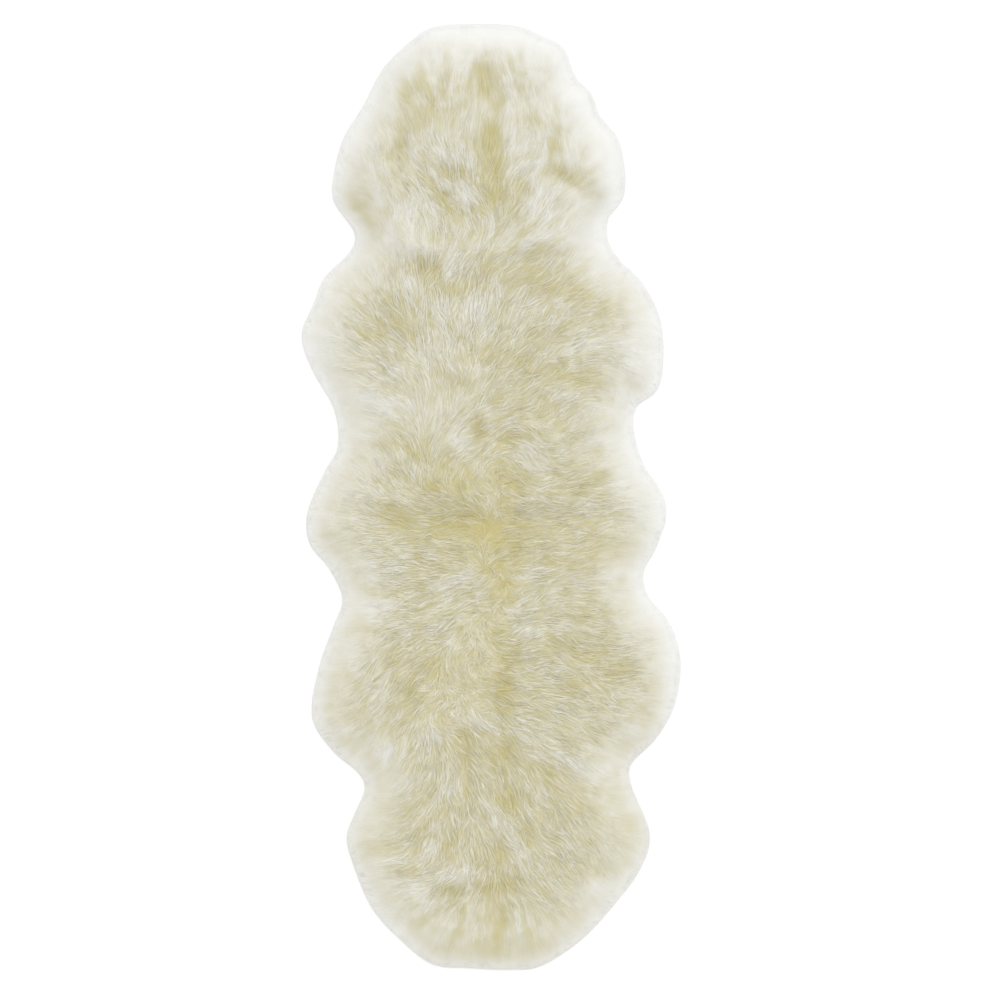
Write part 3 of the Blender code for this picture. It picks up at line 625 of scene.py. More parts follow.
def swell_field(swells, x, y):
    """The swells' rises added up: each is a soft oval."""
    total = np.zeros_like(x)
    for swell in swells:
        mid_x, mid_y = on_rug(swell.photo_x, swell.photo_y)
        c, s = math.cos(math.radians(swell.heading)), math.sin(math.radians(swell.heading))
        along = ((x - mid_x) * c + (y - mid_y) * s) / (swell.half_length * PIXEL)
        across = ((y - mid_y) * c - (x - mid_x) * s) / (swell.half_width * PIXEL)
        total += swell.rise * np.exp(-0.7 * (along ** 2 + across ** 2))
    return total


def wool_tree():
    """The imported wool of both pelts, for rays."""
    points, faces = [], []
    for pelt in PELTS:
        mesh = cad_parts[f"wool_{pelt}"].data
        first = len(points)
        points += [v.co.copy() for v in mesh.vertices]
        faces += [[first + i for i in face.vertices] for face in mesh.polygons]
    return BVHTree.FromPolygons(points, faces)


def rim_tree():
    """Points along the rim's line, close together, to measure from."""
    level, spacing = 0.1 * MM, 3 * MM
    points = []
    for pelt in PELTS:
        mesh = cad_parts[f"wool_{pelt}"].data
        for edge in mesh.edges:
            a, b = (mesh.vertices[i].co for i in edge.vertices)
            if max(abs(a.z - RIM_LIP), abs(b.z - RIM_LIP)) < level:
                steps = max(1, round((b - a).length / spacing))
                points += [a.lerp(b, step / steps).to_2d() for step in range(steps + 1)]
    tree = KDTree(len(points))
    for i, point in enumerate(points):
        tree.insert(point.to_3d(), i)
    tree.balance()
    return tree


class Chart:
    """An even grid over the rug. A field on it is an array, and read gives it at any place."""

    def __init__(self, step):
        low, high = CAD_BOX
        self.step = step
        self.corner = (low.x - SURVEY_MARGIN, low.y - SURVEY_MARGIN)
        across = np.arange(self.corner[0], high.x + SURVEY_MARGIN, step)
        along = np.arange(self.corner[1], high.y + SURVEY_MARGIN, step)
        self.x, self.y = np.meshgrid(across, along)

    def read(self, field, x, y):
        """The field at any place, even between the cells."""
        rows, columns = self.x.shape
        column = np.clip((x - self.corner[0]) / self.step, 0, columns - 1.001)
        row = np.clip((y - self.corner[1]) / self.step, 0, rows - 1.001)
        c, r = column.astype(int), row.astype(int)
        right, up = column - c, row - r
        near = field[r, c] * (1 - right) + field[r, c + 1] * right
        far = field[r + 1, c] * (1 - right) + field[r + 1, c + 1] * right
        return near * (1 - up) + far * up


class Lie:
    """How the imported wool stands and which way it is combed, on an even chart."""

    def __init__(self):
        self.chart = Chart(SURVEY_STEP)
        surface = self.drop_rays()
        self.from_rim = self.measure(surface)
        self.height = self.finish_height(surface)
        self.comb_wool()

    def drop_rays(self):
        """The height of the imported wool's surface, and 0 off it."""
        tree = wool_tree()
        above, down = CAD_BOX[1].z + 1, Vector((0, 0, -1))
        surface = np.zeros_like(self.chart.x)
        for cell in np.ndindex(surface.shape):
            hit = tree.ray_cast(Vector((self.chart.x[cell], self.chart.y[cell], above)), down)[0]
            surface[cell] = hit.z if hit else 0
        return surface

    def measure(self, surface):
        """Distance in from the rim's line, and below 0 outside it."""
        tree = rim_tree()
        distance = np.zeros_like(surface)
        for cell in np.ndindex(distance.shape):
            distance[cell] = tree.find(Vector((self.chart.x[cell], self.chart.y[cell], 0)))[2]
        inside = softened((surface > RIM_LIP - RIM_SLACK).astype(float), 1) > 0.5
        return softened(np.where(inside, distance, -distance), 1)

    def finish_height(self, surface):
        """The surface, smoothed, and from the rim's lip down to the floor beyond it."""
        beyond = np.maximum(RIM_LIP * (1 + self.from_rim / RIM_REACH), LOWEST_WOOL)
        return softened(np.where(self.from_rim > 0, np.maximum(surface, RIM_LIP), beyond), 2)

    def comb_wool(self):
        """The way that tips point, and how well the strokes near each place agree."""
        x, y = self.chart.x, self.chart.y
        pull_x, pull_y, weight = (np.zeros_like(x) for _ in range(3))
        for row in COMBING:
            for photo_x, heading in row.strokes:
                mid_x, mid_y = on_rug(photo_x, row.photo_y)
                near = np.exp(-((x - mid_x) ** 2 + (y - mid_y) ** 2) / (2 * STROKE_WIDTH ** 2))
                pull_x += near * math.cos(math.radians(heading))
                pull_y += near * math.sin(math.radians(heading))
                weight += near
        weight = np.maximum(weight, 1e-9)
        slope_y, slope_x = np.gradient(softened(self.from_rim, 2), SURVEY_STEP)
        steep = np.maximum(np.hypot(slope_x, slope_y), 1e-6)
        self.out_x, self.out_y = -slope_x / steep, -slope_y / steep
        depth = np.maximum(self.from_rim + RIM_REACH, 0)
        rim = RIM_COMB_PULL * np.exp(-(depth / (2 * RIM_COMB_DEPTH)) ** 2)
        self.comb_x = pull_x / weight + rim * self.out_x
        self.comb_y = pull_y / weight + rim * self.out_y
        self.accord = np.hypot(self.comb_x, self.comb_y) / (1 + rim)

    def heading(self, x, y, outward=0.0):
        """Unit vectors of the combing, or so much of the way straight out of the rug."""
        read = self.chart.read
        ahead = read(self.comb_x, x, y), read(self.comb_y, x, y)
        out = read(self.out_x, x, y), read(self.out_y, x, y)
        turned = [a * (1 - outward) + o * outward for a, o in zip(ahead, out)]
        return turned / np.maximum(np.hypot(*turned), 1e-6)

    def streaks(self, chart, grain, length, seed):
        """Noise drawn out along the combing, so wide and so long, mostly from -2 to 2."""
        specks = Chart(grain)
        field = np.random.default_rng(seed).normal(size=specks.x.shape)
        total = specks.read(field, chart.x, chart.y)
        for way in (1, -1):
            x, y = chart.x, chart.y
            for _ in range(round(length / 2 / grain)):
                ahead_x, ahead_y = self.heading(x, y)
                x, y = x + way * grain * ahead_x, y + way * grain * ahead_y
                total = total + specks.read(field, x, y)
        return total / total.std()


class Tufts:
    """Tufts on an uneven grid, each with its own size, reach, turn, lift, tint and waves."""

    def __init__(self, pitch, turn, seed):
        rng = np.random.default_rng(seed)
        low, high = CAD_BOX
        self.pitch = pitch
        self.corner = (low.x - SURVEY_MARGIN - pitch, low.y - SURVEY_MARGIN - pitch)
        span = 2 * (SURVEY_MARGIN + pitch)
        shape = (int((high.y - low.y + span) / pitch) + 2, int((high.x - low.x + span) / pitch) + 2)
        r, c = np.indices(shape)
        self.x = self.corner[0] + (c + rng.uniform(0, 1, shape)) * pitch
        self.y = self.corner[1] + (r + rng.uniform(0, 1, shape)) * pitch
        self.size = rng.uniform(0.65, 1.5, shape)
        self.reach = rng.uniform(0.85, 1.2, shape)
        self.turn = turn * np.clip(rng.normal(0, 1, shape), -2, 2)
        self.lift = rng.uniform(0.5, 1.5, shape)
        self.tint = rng.normal(0, 0.03, shape)
        self.phase = rng.uniform(0, 1, shape)

    def nearest(self, x, y):
        """Row and column of the tuft that each root belongs to; a bigger tuft takes in more."""
        rows, columns = self.x.shape
        home_c = ((x - self.corner[0]) / self.pitch).astype(int)
        home_r = ((y - self.corner[1]) / self.pitch).astype(int)
        best = np.full(x.shape, np.inf)
        best_r, best_c = home_r.copy(), home_c.copy()
        for step_r in (-1, 0, 1):
            for step_c in (-1, 0, 1):
                r = np.clip(home_r + step_r, 0, rows - 1)
                c = np.clip(home_c + step_c, 0, columns - 1)
                far = np.hypot(self.x[r, c] - x, self.y[r, c] - y) / self.size[r, c]
                closer = far < best
                best = np.where(closer, far, best)
                best_r, best_c = np.where(closer, r, best_r), np.where(closer, c, best_c)
        return best_r, best_c


# Between these distances in from the rim the wool goes from calm to lively, its swells rise, its
# clumps show, and its whiteness falls by so much.
LIVELY_BAND = (-5 * MM, 115 * MM)
SWELL_BAND = (-5 * MM, 20 * MM)
CLUMP_BAND = (0, 40 * MM)
Fade = namedtuple("Fade", "drop low high")
RIM_WHITENESS = 0.93
FADES = (Fade(0.33, -24 * MM, 14 * MM), Fade(0.17, 0, 110 * MM))

# How much of a hollow's or tuft's rise is shape, and how much whiter a metre of it is painted: painted
# light on the tufts, painted shade in the hollows.
SWELL_RISE = 0.28
SWELL_LIGHT = 21

# Streaks and clouds along the combing: how wide and long they are, and how much whiter. Calm wool
# loses nearly all of its streaks and clumps, and soft places are never wholly soft.
Streaks = namedtuple("Streaks", "grain length tint")
BROAD_STREAKS = Streaks(9 * MM, 44 * MM, 0.01)
FINE_STREAKS = Streaks(3 * MM, 36 * MM, 0.03)
CLOUDS = Streaks(8 * MM, 28 * MM, 0.12)
CALM_STREAK_TINT = 0.03
CLUMP_WANDER = 3 * MM
SOFTEST = 0.8
CALMED = 0.95

# The felt lies this far under the strands' ground, and on calm wool a little over it.
BED_DEPTH = 0.3 * MM
BED_CALMED = 1.4


class Fleece:
    """The combed surface on a fine chart: its height, its slopes and how white it is."""

    def __init__(self, lie, settings):
        self.lie = lie
        self.depth_shade = settings.depth_shade
        self.chart = Chart(FLEECE_STEP)
        x, y = self.chart.x, self.chart.y
        self.from_rim = lie.chart.read(lie.from_rim, x, y)
        self.soft = np.clip(swell_field(SOFT_PLACES, x, y), 0, SOFTEST)
        self.calm = 1 - eased(self.from_rim, *LIVELY_BAND) * (1 - self.soft)
        rises = swell_field(HOLLOWS, x, y) + swell_field(TUFTS, x, y)
        rises *= eased(self.from_rim, *SWELL_BAND)
        broad, fine, clouds = (
            lie.streaks(self.chart, kind.grain, kind.length, settings.seed + number)
            for number, kind in enumerate((BROAD_STREAKS, FINE_STREAKS, CLOUDS), 1)
        )
        clumps = self.clumps(settings, broad, fine)
        lively = 1 - CALMED * self.calm
        relief = settings.ridges * broad + settings.grooves * fine + settings.clump_rise * clumps
        self.ground = lie.chart.read(lie.height, x, y) + SWELL_RISE * rises + lively * relief
        self.bed = self.ground - BED_DEPTH * (1 - BED_CALMED * self.calm)
        self.slope_y, self.slope_x = np.gradient(softened(self.ground, 1), FLEECE_STEP)
        tint = np.full(x.shape, RIM_WHITENESS)
        for fade in FADES:
            tint -= fade.drop * eased(self.from_rim, fade.low, fade.high)
        # Painted light on the tufts and painted shade in the hollows, besides the wool's streaks.
        tint += SWELL_LIGHT * rises + lively * (BROAD_STREAKS.tint * broad + FINE_STREAKS.tint * fine)
        clouded = CLOUDS.tint * self.soft * softened(clouds, 1)
        # Painted light on the clumps' raised tips, painted shade at their roots.
        clumped = settings.clump_light * (1 + self.soft) * clumps
        tint += eased(self.from_rim, *CLUMP_BAND) * (clouded + clumped)
        tint += CALM_STREAK_TINT * self.calm * softened(broad, 2)
        # Painted light and shade on the rims, waists, seam, spine and parting, and whiter head, yellower
        # rear.
        self.tint = tint + swell_field(LIGHT_AND_TONES, x, y)

    def clumps(self, settings, broad, fine):
        """Overlapping clumps of wool: each rises from its root to its tips, mostly from -1 to 1."""
        every = Tufts(settings.clump_pitch, 0, settings.seed + 4)
        x, y = self.chart.x + CLUMP_WANDER * broad, self.chart.y + CLUMP_WANDER * fine
        mine = every.nearest(x, y)
        ahead_x, ahead_y = self.lie.heading(x, y)
        along = ((x - every.x[mine]) * ahead_x + (y - every.y[mine]) * ahead_y) / every.pitch
        return np.clip(2 * along, -1, 1) * every.lift[mine]

    def read(self, name, x, y):
        """The field of that name at any place."""
        return self.chart.read(getattr(self, name), x, y)


@functools.lru_cache(maxsize=1)
def surveyed():
    """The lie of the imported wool, worked out once."""
    return Lie()


@functools.lru_cache(maxsize=1)
def combed():
    """The fleece, worked out once."""
    return Fleece(surveyed(), bpy.context.scene.rug_fleece)


# ---------------------------------------------------------------------------------------------
# Strands

# A strand's rings: how far along it they are, how far they stand off and how thick they are there.
Profile = namedtuple("Profile", "stations lifts thickness")
COAT_PROFILE = Profile((0.0, 0.3, 0.65, 1.0), (-1.5, 0.7, 1.0, 0.4), (0.8, 1.0, 0.85))
LOCK_PROFILE = Profile((0.0, 0.22, 0.5, 0.77, 1.0), (-0.6, 0.6, 1.0, 1.0, 0.8), (0.8, 1.0, 1.0, 0.7))
RIBS = tuple(math.radians(a) for a in (90, 210, 330))
COAT_PIECES = 2

# How far in from the rim roots are, and how close together the extra ones are: those under the rim,
# and those in partings, where the strokes of the combing agree less than this.
INNERMOST_ROOTS = 1.0
OUTERMOST_ROOTS = -9 * MM
RIM_ROOTS = 22 * MM
LOCK_ROOTS = 18 * MM
UNDER_ROOTS = (-8 * MM, 14 * MM)
UNDER_PITCH = 4.6 * MM
PARTED_PITCH = 4 * MM
PARTED_ACCORD = 0.72

# How unlike its neighbours a strand is: turns in radians, and how far tips stay short of the outline.
OWN_TURN = 0.12
LOOSE_TURN = 0.8
RAGGED = 3 * MM
UNDER_RAGGED = 4 * MM
UNDER_REACH = 26 * MM
STANDING_RISE = 0.1 * MM

# The root of a strand that starts this near the floor sinks further, out of sight.
LOW_GROUND = LOWEST_WOOL + 4 * MM
ROOT_SINK = 1.2 * MM

# Painted light and shade: a strand is whiter the higher it stands, from -1 to 1, and the very highest more,
# as the low ones lie in shade; what keeps the mean; and chance. From this far along, the strand grows
# whiter to its tip, partly its own paler tip and partly painted light.
STANDING_LIGHT = 0.09
HIGHEST_LIGHT = 0.11
TINT_BALANCE = 0.08
CHANCE_TINT = 0.02
TIP_START = 0.4
UNDER_TINT = 0.8
UNDER_CHANCE_TINT = 0.07

# Painted shade: how much darker and yellower a metre down makes a strand, from just above the others to
# this far below. Each stretch of a strand is met at so many places.
BURIED_SHADE = 200
BURIED_DEPTHS = (-0.5 * MM, 1.2 * MM)
STRETCH_PLACES = 3

# The strands' map: along it is the place from root to tip, which sets a painted shade darker toward the
# root, and up it is how white the wool is. At the rim the place along is drawn to one value, for an even
# painted shade there.
BAKE_MAP = "OFBake"
MAP_EDGE = 0.01
MAP_SLIVER = 2 / 1024
EVEN_RIM_SHADE = 0.2
SHADE_ALONG_BAND = (-15 * MM, 35 * MM)
CREST_MIDDLE = 0.55


def jittered_roots(lie, pitch, low, high, rng):
    """Roots on an uneven grid, where the distance in from the rim is from low to high."""
    box_low, box_high = CAD_BOX
    x, y = np.meshgrid(np.arange(box_low.x, box_high.x, pitch), np.arange(box_low.y, box_high.y, pitch))
    x = (x + rng.uniform(-0.5, 0.5, x.shape) * pitch).ravel()
    y = (y + rng.uniform(-0.5, 0.5, y.shape) * pitch).ravel()
    depth = lie.chart.read(lie.from_rim, x, y)
    keep = (depth >= low) & (depth < high)
    return x[keep], y[keep]


def march(lie, stations, x, y, reach, turn, outward=0.0):
    """The places that strands pass, along the combing, each turned by its own turn.

    A strand starts behind the given place and is there at its second station, so that the wool on
    one side of a parting also covers the other side's roots.
    """
    places = [np.stack([x, y], 1)]
    c, s = np.cos(turn), np.sin(turn)
    steps = np.diff(stations)
    for step in steps[1:]:
        ahead_x, ahead_y = lie.heading(*places[-1].T, outward)
        way = np.stack([ahead_x * c - ahead_y * s, ahead_x * s + ahead_y * c], 1)
        if len(places) == 1:
            start = places[0] - way * (reach * steps[0])[:, None]
        places.append(places[-1] + way * (reach * step)[:, None])
    return np.stack([start, *places], 1)


def held_in(lie, stations, x, y, reach, turn, limit, outward=0.0):
    """The reach of each strand, cut short where its tip would pass the rug's outline."""
    start = lie.chart.read(lie.from_rim, x, y)
    for _ in range(2):
        tips = march(lie, stations, x, y, reach, turn, outward)[:, -1]
        end = lie.chart.read(lie.from_rim, *tips.T)
        allowed = (start + limit) / np.maximum(start - end, 1e-6)
        reach = np.where(end < -limit, reach * np.clip(allowed, 0.1, 1), reach)
    return reach


class Strands:
    """Spines, radii, tints, soft normals, liveliness, and how far the painted shade from root to tip
    reaches, of strands that share a profile.
    """

    def __init__(self, profile, *parts):
        self.profile = profile
        self.spines, self.radius, self.tint, self.slopes, self.lively, self.full = parts

    def parts(self):
        """All that a strand has of its own."""
        return self.spines, self.radius, self.tint, self.slopes, self.lively, self.full

    def beneath(self):
        """Which strands lie under the rug: only these are wholly calm."""
        return self.lively == 0

    def pick(self, which):
        """Some of the strands."""
        return Strands(self.profile, *(part[which] for part in self.parts()))

    def with_others(self, other):
        """These strands and those."""
        return Strands(self.profile, *(np.concatenate(both) for both in zip(self.parts(), other.parts())))


def crimped(places, along, reach, phase, settings, calm, rng):
    """How far each place swings sideways in the strands' waves."""
    ahead = places[:, -1] - places[:, 0]
    ahead /= np.maximum(np.linalg.norm(ahead, axis=1, keepdims=True), 1e-6)
    wave = along * reach[:, None] / settings.crimp_length + phase[:, None]
    wave = np.sin(math.tau * (wave + rng.uniform(-0.12, 0.12, reach.shape)[:, None]))
    swing = settings.crimp * (1 - 0.85 * calm)[:, None] * eased(along, 0, 0.5) * wave
    return swing[:, :, None] * np.stack([-ahead[:, 1], ahead[:, 0]], 1)[:, None]


def gathered(lie, tufts, mine, settings, stations, x, y, calm, rng):
    """The places that strands pass: combed, turned with their tuft, drawn to its tip and crimped."""
    loose = np.clip(1 - lie.chart.read(lie.accord, x, y), 0, 1)
    wild = 1 - 0.8 * calm
    turn = (tufts.turn[mine] + rng.normal(0, OWN_TURN, x.shape)) * wild
    turn += rng.normal(0, LOOSE_TURN, x.shape) * loose
    reach = settings.reach * tufts.reach[mine] * rng.uniform(0.8, 1.15, x.shape) * (1 - 0.4 * loose)
    ragged = RIM_REACH - rng.uniform(0, RAGGED, x.shape)
    reach = held_in(lie, stations, x, y, reach, turn, ragged)
    own = march(lie, stations, x, y, reach, turn)
    shared = march(lie, stations, tufts.x[mine], tufts.y[mine], reach, tufts.turn[mine] * wild)
    own_way, shared_way = own[:, -1] - own[:, 0], shared[:, -1] - shared[:, 0]
    lengths = np.linalg.norm(own_way, axis=1) * np.linalg.norm(shared_way, axis=1)
    agree = np.clip((own_way * shared_way).sum(1) / np.maximum(lengths, 1e-9), 0, 1) ** 3
    along = np.array(stations)
    draw = (settings.gather * agree * (1 - 0.75 * calm))[:, None] * along ** 1.3
    places = own + draw[:, :, None] * (shared + 0.4 * (own[:, :1] - shared[:, :1]) - own)
    return places + crimped(places, along, reach, tufts.phase[mine], settings, calm, rng)


def tint_and_light(tuft_tint, standing, rng):
    """A strand's whiteness: its tuft's, painted lighter the higher it stands and darker lower down as
    shade, and chance.
    """
    raised = tuft_tint + STANDING_LIGHT * standing + HIGHEST_LIGHT * standing ** 5
    return raised - TINT_BALANCE + rng.normal(0, CHANCE_TINT, standing.shape)


def strands_over(fleece, tufts, settings, profile, x, y, rng):
    """Strands laid over the fleece, gathered into their tufts."""
    calm = fleece.read("calm", x, y)
    mine = tufts.nearest(x, y)
    places = gathered(fleece.lie, tufts, mine, settings, profile.stations, x, y, calm, rng)
    ground, slope_x, slope_y, tint = (
        fleece.read(name, *places.reshape(-1, 2).T).reshape(places.shape[:2])
        for name in ("ground", "slope_x", "slope_y", "tint")
    )
    standing = rng.uniform(-1, 1, x.shape)
    lifts = np.array(profile.lifts)
    lift = settings.lift * tufts.lift[mine] * (1 - 0.8 * calm)
    order = STANDING_RISE * standing * (1 - 0.8 * calm)
    z = np.maximum(ground + lifts * lift[:, None] + order[:, None], LOWEST_WOOL)
    z -= np.where(ground < LOW_GROUND, ROOT_SINK * (lifts < 0), 0)
    more = tint_and_light(tufts.tint[mine], standing, rng) * (1 - 0.9 * calm)
    # Whiter toward the tip: partly its own paler tip, partly painted shade toward the root.
    whiter = settings.whiter_tip * (1 - calm)[:, None] * (np.array(profile.stations) - TIP_START)
    radius = settings.radius * rng.uniform(0.75, 1.2, x.shape)
    slopes = np.stack([slope_x, slope_y], 2)
    # How far the painted shade from root to tip reaches: not at all at the rim, where it is one even shade.
    full = eased(fleece.read("from_rim", x, y), *SHADE_ALONG_BAND)
    spines, tint = np.dstack([places, z]), tint + more[:, None] + whiter
    return Strands(profile, spines, radius, tint, slopes, 1 - 0.9 * calm, full)


def strands_under(fleece, settings, profile, x, y, rng):
    """Low strands that reach out from under the hide's edge."""
    lie = fleece.lie
    turn = rng.normal(0, OWN_TURN, x.shape)
    limit = RIM_REACH - rng.uniform(0, UNDER_RAGGED, x.shape)
    reach = held_in(lie, profile.stations, x, y, np.full(x.shape, UNDER_REACH), turn, limit, 1.0)
    places = march(lie, profile.stations, x, y, reach, turn, 1.0)
    z = np.full(places.shape[:2], UNDER_WOOL)
    tint = (UNDER_TINT + rng.normal(0, UNDER_CHANCE_TINT, x.shape))[:, None] + np.zeros_like(z)
    radius = settings.radius * rng.uniform(0.8, 1.1, x.shape)
    spines, none = np.dstack([places, z]), np.zeros(x.shape)
    return Strands(profile, spines, radius, tint, np.zeros_like(places), none, none)


def shade_buried(groups):
    """Paints shade on the strands, darker and yellower by how deep they lie under the highest ones round
    them.
    """
    chart = Chart(FLEECE_STEP)
    top = np.zeros_like(chart.x)
    for strands in groups:
        for share in np.linspace(0, 1, STRETCH_PLACES, endpoint=False):
            between = strands.spines[:, :-1] * (1 - share) + strands.spines[:, 1:] * share
            x, y, z = between.reshape(-1, 3).T
            row = ((y - chart.corner[1]) / chart.step).round().astype(int)
            column = ((x - chart.corner[0]) / chart.step).round().astype(int)
            np.maximum.at(top, (row, column), z)
    top = softened(top, 1)
    for strands in groups:
        x, y, z = strands.spines.reshape(-1, 3).T
        depth = (chart.read(top, x, y) - z).reshape(strands.tint.shape)
        strands.tint -= BURIED_SHADE * np.clip(depth, *BURIED_DEPTHS) * strands.lively[:, None]


def strand_faces(profile):
    """One strand's faces; each corner's place along, side of the map, top flag for the painted highlight
    and whether below.
    """
    ribs, rings = len(RIBS), len(profile.thickness)
    faces, corners = [], []
    for ring in range(rings):
        for rib in range(ribs):
            a, b = ring * ribs + rib, ring * ribs + (rib + 1) % ribs
            top_a, top_b = (round(math.sin(RIBS[k % ribs]) > 0.9) for k in (a, b))
            below = 1 - max(top_a, top_b)
            if ring == rings - 1:
                faces.append([a, b, rings * ribs])
                corners += [(ring, 0, top_a, below), (ring, 1, top_b, below), (ring + 1, 0.5, 0.7, below)]
            else:
                faces.append([a, b, b + ribs, a + ribs])
                corners += [(ring, 0, top_a, below), (ring, 1, top_b, below)]
                corners += [(ring + 1, 1, top_b, below), (ring + 1, 0, top_a, below)]
    faces.append([0, 2, 1])
    corners += [(0, 0, 1, 0), (0, 1, 0, 0), (0.1, 1, 0, 0)]
    return faces, np.array(corners)


def strand_shell(strands, wool):
    """The points round all the strands, and the normals that shade them mostly as the fleece."""
    spines, ribs = strands.spines, len(RIBS)
    along = np.gradient(spines, axis=1)
    along /= np.maximum(np.linalg.norm(along, axis=2, keepdims=True), 1e-9)
    side = np.stack([-along[..., 1], along[..., 0], np.zeros(along.shape[:2])], 2)
    side /= np.maximum(np.linalg.norm(side, axis=2, keepdims=True), 1e-9)
    up = np.cross(along, side)
    rings, outwards = [], []
    for ring, share in enumerate(strands.profile.thickness):
        thickness = (strands.radius * share)[:, None]
        for angle in RIBS:
            across, rise = side[:, ring] * math.cos(angle), up[:, ring] * math.sin(angle)
            outwards.append(across + rise)
            rings.append(spines[:, ring] + (across + rise * wool.flatness) * thickness)
    points = np.stack(rings + [spines[:, -1]], 1)
    outwards = np.stack(outwards + [along[:, -1]], 1)
    soft = np.dstack([-strands.slopes, np.ones(spines.shape[:2])])
    soft = np.concatenate([np.repeat(soft[:, :-1], ribs, axis=1), soft[:, -1:]], 1)
    soft /= np.linalg.norm(soft, axis=2, keepdims=True)
    return points, soft * (1 - wool.facet) + outwards * wool.facet


def strand_map(strands, corners, crest_light):
    """Where each corner lies on the strands' map."""
    stations = strands.profile.stations
    station, side_of_map, crest_share = corners[:, 0], corners[:, 1], corners[:, 2]
    u = np.interp(station, range(len(stations)), stations)
    # At the rim every corner takes one even painted shade; further in, the shade runs from root to tip.
    u = EVEN_RIM_SHADE + (u - EVEN_RIM_SHADE) * strands.full[:, None]
    ring = np.minimum(station.astype(int), len(stations) - 1)
    # Painted light: a lively strand's top is whiter and its sides darker and yellower, as if in shade.
    lively = (strands.lively * crest_light)[:, None] * (crest_share - CREST_MIDDLE)
    v = np.clip(strands.tint[:, ring] + lively, 0, 1) * (1 - 3 * MAP_EDGE) + MAP_EDGE
    v += side_of_map * MAP_SLIVER
    return np.stack([np.broadcast_to(MAP_EDGE + u * (1 - 2 * MAP_EDGE), v.shape), v], 2)


def strand_mesh(name, strands, wool):
    """All the strands as one mesh, each closed and pointed."""
    points, normals = strand_shell(strands, wool)
    faces, corners = strand_faces(strands.profile)
    count, each = points.shape[:2]
    sizes = np.array([len(face) for face in faces])
    loops = (np.arange(count)[:, None] * each + np.concatenate(faces)).ravel()
    starts = np.concatenate([[0], np.cumsum(np.tile(sizes, count))[:-1]])
    mesh = bpy.data.meshes.new(name)
    mesh.vertices.add(count * each)
    mesh.vertices.foreach_set("co", points.astype(np.float32).ravel())
    mesh.loops.add(len(loops))
    mesh.loops.foreach_set("vertex_index", loops.astype(np.int32))
    mesh.polygons.add(len(starts))
    mesh.polygons.foreach_set("loop_start", starts.astype(np.int32))
    mesh.polygons.foreach_set("use_smooth", np.ones(len(starts), dtype=bool))
    mesh.update(calc_edges=True)
    corner_normals = normals.reshape(-1, 3)[loops]
    seen_from_below = strands.beneath()[:, None] & (corners[:, 3] > 0)
    corner_normals[seen_from_below.ravel()] *= -1
    mesh.normals_split_custom_set(corner_normals)
    spots = strand_map(strands, corners, wool.crest_light)
    mesh.uv_layers.new(name=BAKE_MAP).data.foreach_set("uv", spots.astype(np.float32).ravel())
    return mesh


# ---------------------------------------------------------------------------------------------
# Finishes


def new_material(name, roughness):
    """A material with a bare principled shader; gives its nodes, its links and the shader."""
    material = bpy.data.materials.new(name)
    material.use_nodes = True
    nodes, links = material.node_tree.nodes, material.node_tree.links
    shader = nodes["Principled BSDF"]
    shader.inputs["Roughness"].default_value = roughness
    shader.inputs["Specular IOR Level"].default_value = 0.2
    return material, nodes, links, shader


def ramp(nodes, stops):
    """A colour ramp with these places and colours."""
    node = nodes.new("ShaderNodeValToRGB")
    elements = node.color_ramp.elements
    while len(elements) < len(stops):
        elements.new(0.5)
    for element, (place, colour) in zip(elements, stops):
        element.position = place
        element.color = (*colour, 1)
    return node


def grey(value):
    """A colour ramp's grey."""
    return (value, value, value)


def noise(nodes, links, place, scale, detail):
    """Noise on these coordinates; gives its value."""
    node = nodes.new("ShaderNodeTexNoise")
    node.inputs["Scale"].default_value = scale
    node.inputs["Detail"].default_value = detail
    links.new(place, node.inputs["Vector"])
    return node.outputs["Fac"]


def multiplied(nodes, links, first, second, factor):
    """One colour darkened by another; gives the colour."""
    mix = nodes.new("ShaderNodeMix")
    mix.data_type = "RGBA"
    mix.blend_type = "MULTIPLY"
    mix.inputs["Factor"].default_value = factor
    links.new(first, mix.inputs["A"])
    links.new(second, mix.inputs["B"])
    return mix.outputs["Result"]


def bumped(nodes, links, shader, height, strength, distance):
    """Lets this height bump the shader's normal."""
    bump = nodes.new("ShaderNodeBump")
    bump.inputs["Strength"].default_value = strength
    bump.inputs["Distance"].default_value = distance
    links.new(height, bump.inputs["Height"])
    links.new(bump.outputs["Normal"], shader.inputs["Normal"])


def wool_tones(settings):
    """A node group: how white the wool is, and its painted shade from root to tip, to its colour."""
    group = bpy.data.node_groups.new("wool_tones", "ShaderNodeTree")
    group.interface.new_socket("Whiteness", in_out="INPUT", socket_type="NodeSocketFloat")
    group.interface.new_socket("Along", in_out="INPUT", socket_type="NodeSocketFloat")
    group.interface.new_socket("Color", in_out="OUTPUT", socket_type="NodeSocketColor")
    nodes, links = group.nodes, group.links
    given, out = nodes.new("NodeGroupInput"), nodes.new("NodeGroupOutput")
    tints = ramp(nodes, (
        (0.0, settings.yellowed), (0.33, settings.ivory), (0.66, settings.cream), (1.0, settings.white),
    ))
    # Painted shade: darker toward the root, where a strand lies among the others.
    painted_shades = ramp(nodes, ((0.0, grey(0.87)), (0.4, grey(0.915)), (1.0, grey(0.93))))
    links.new(given.outputs["Along"], painted_shades.inputs["Fac"])
    links.new(given.outputs["Whiteness"], tints.inputs["Fac"])
    colour = multiplied(nodes, links, tints.outputs["Color"], painted_shades.outputs["Color"], 1)
    links.new(colour, out.inputs["Color"])
    return group


def add_group(nodes, group):
    """Places a node group in a material."""
    node = nodes.new("ShaderNodeGroup")
    node.node_tree = group
    return node


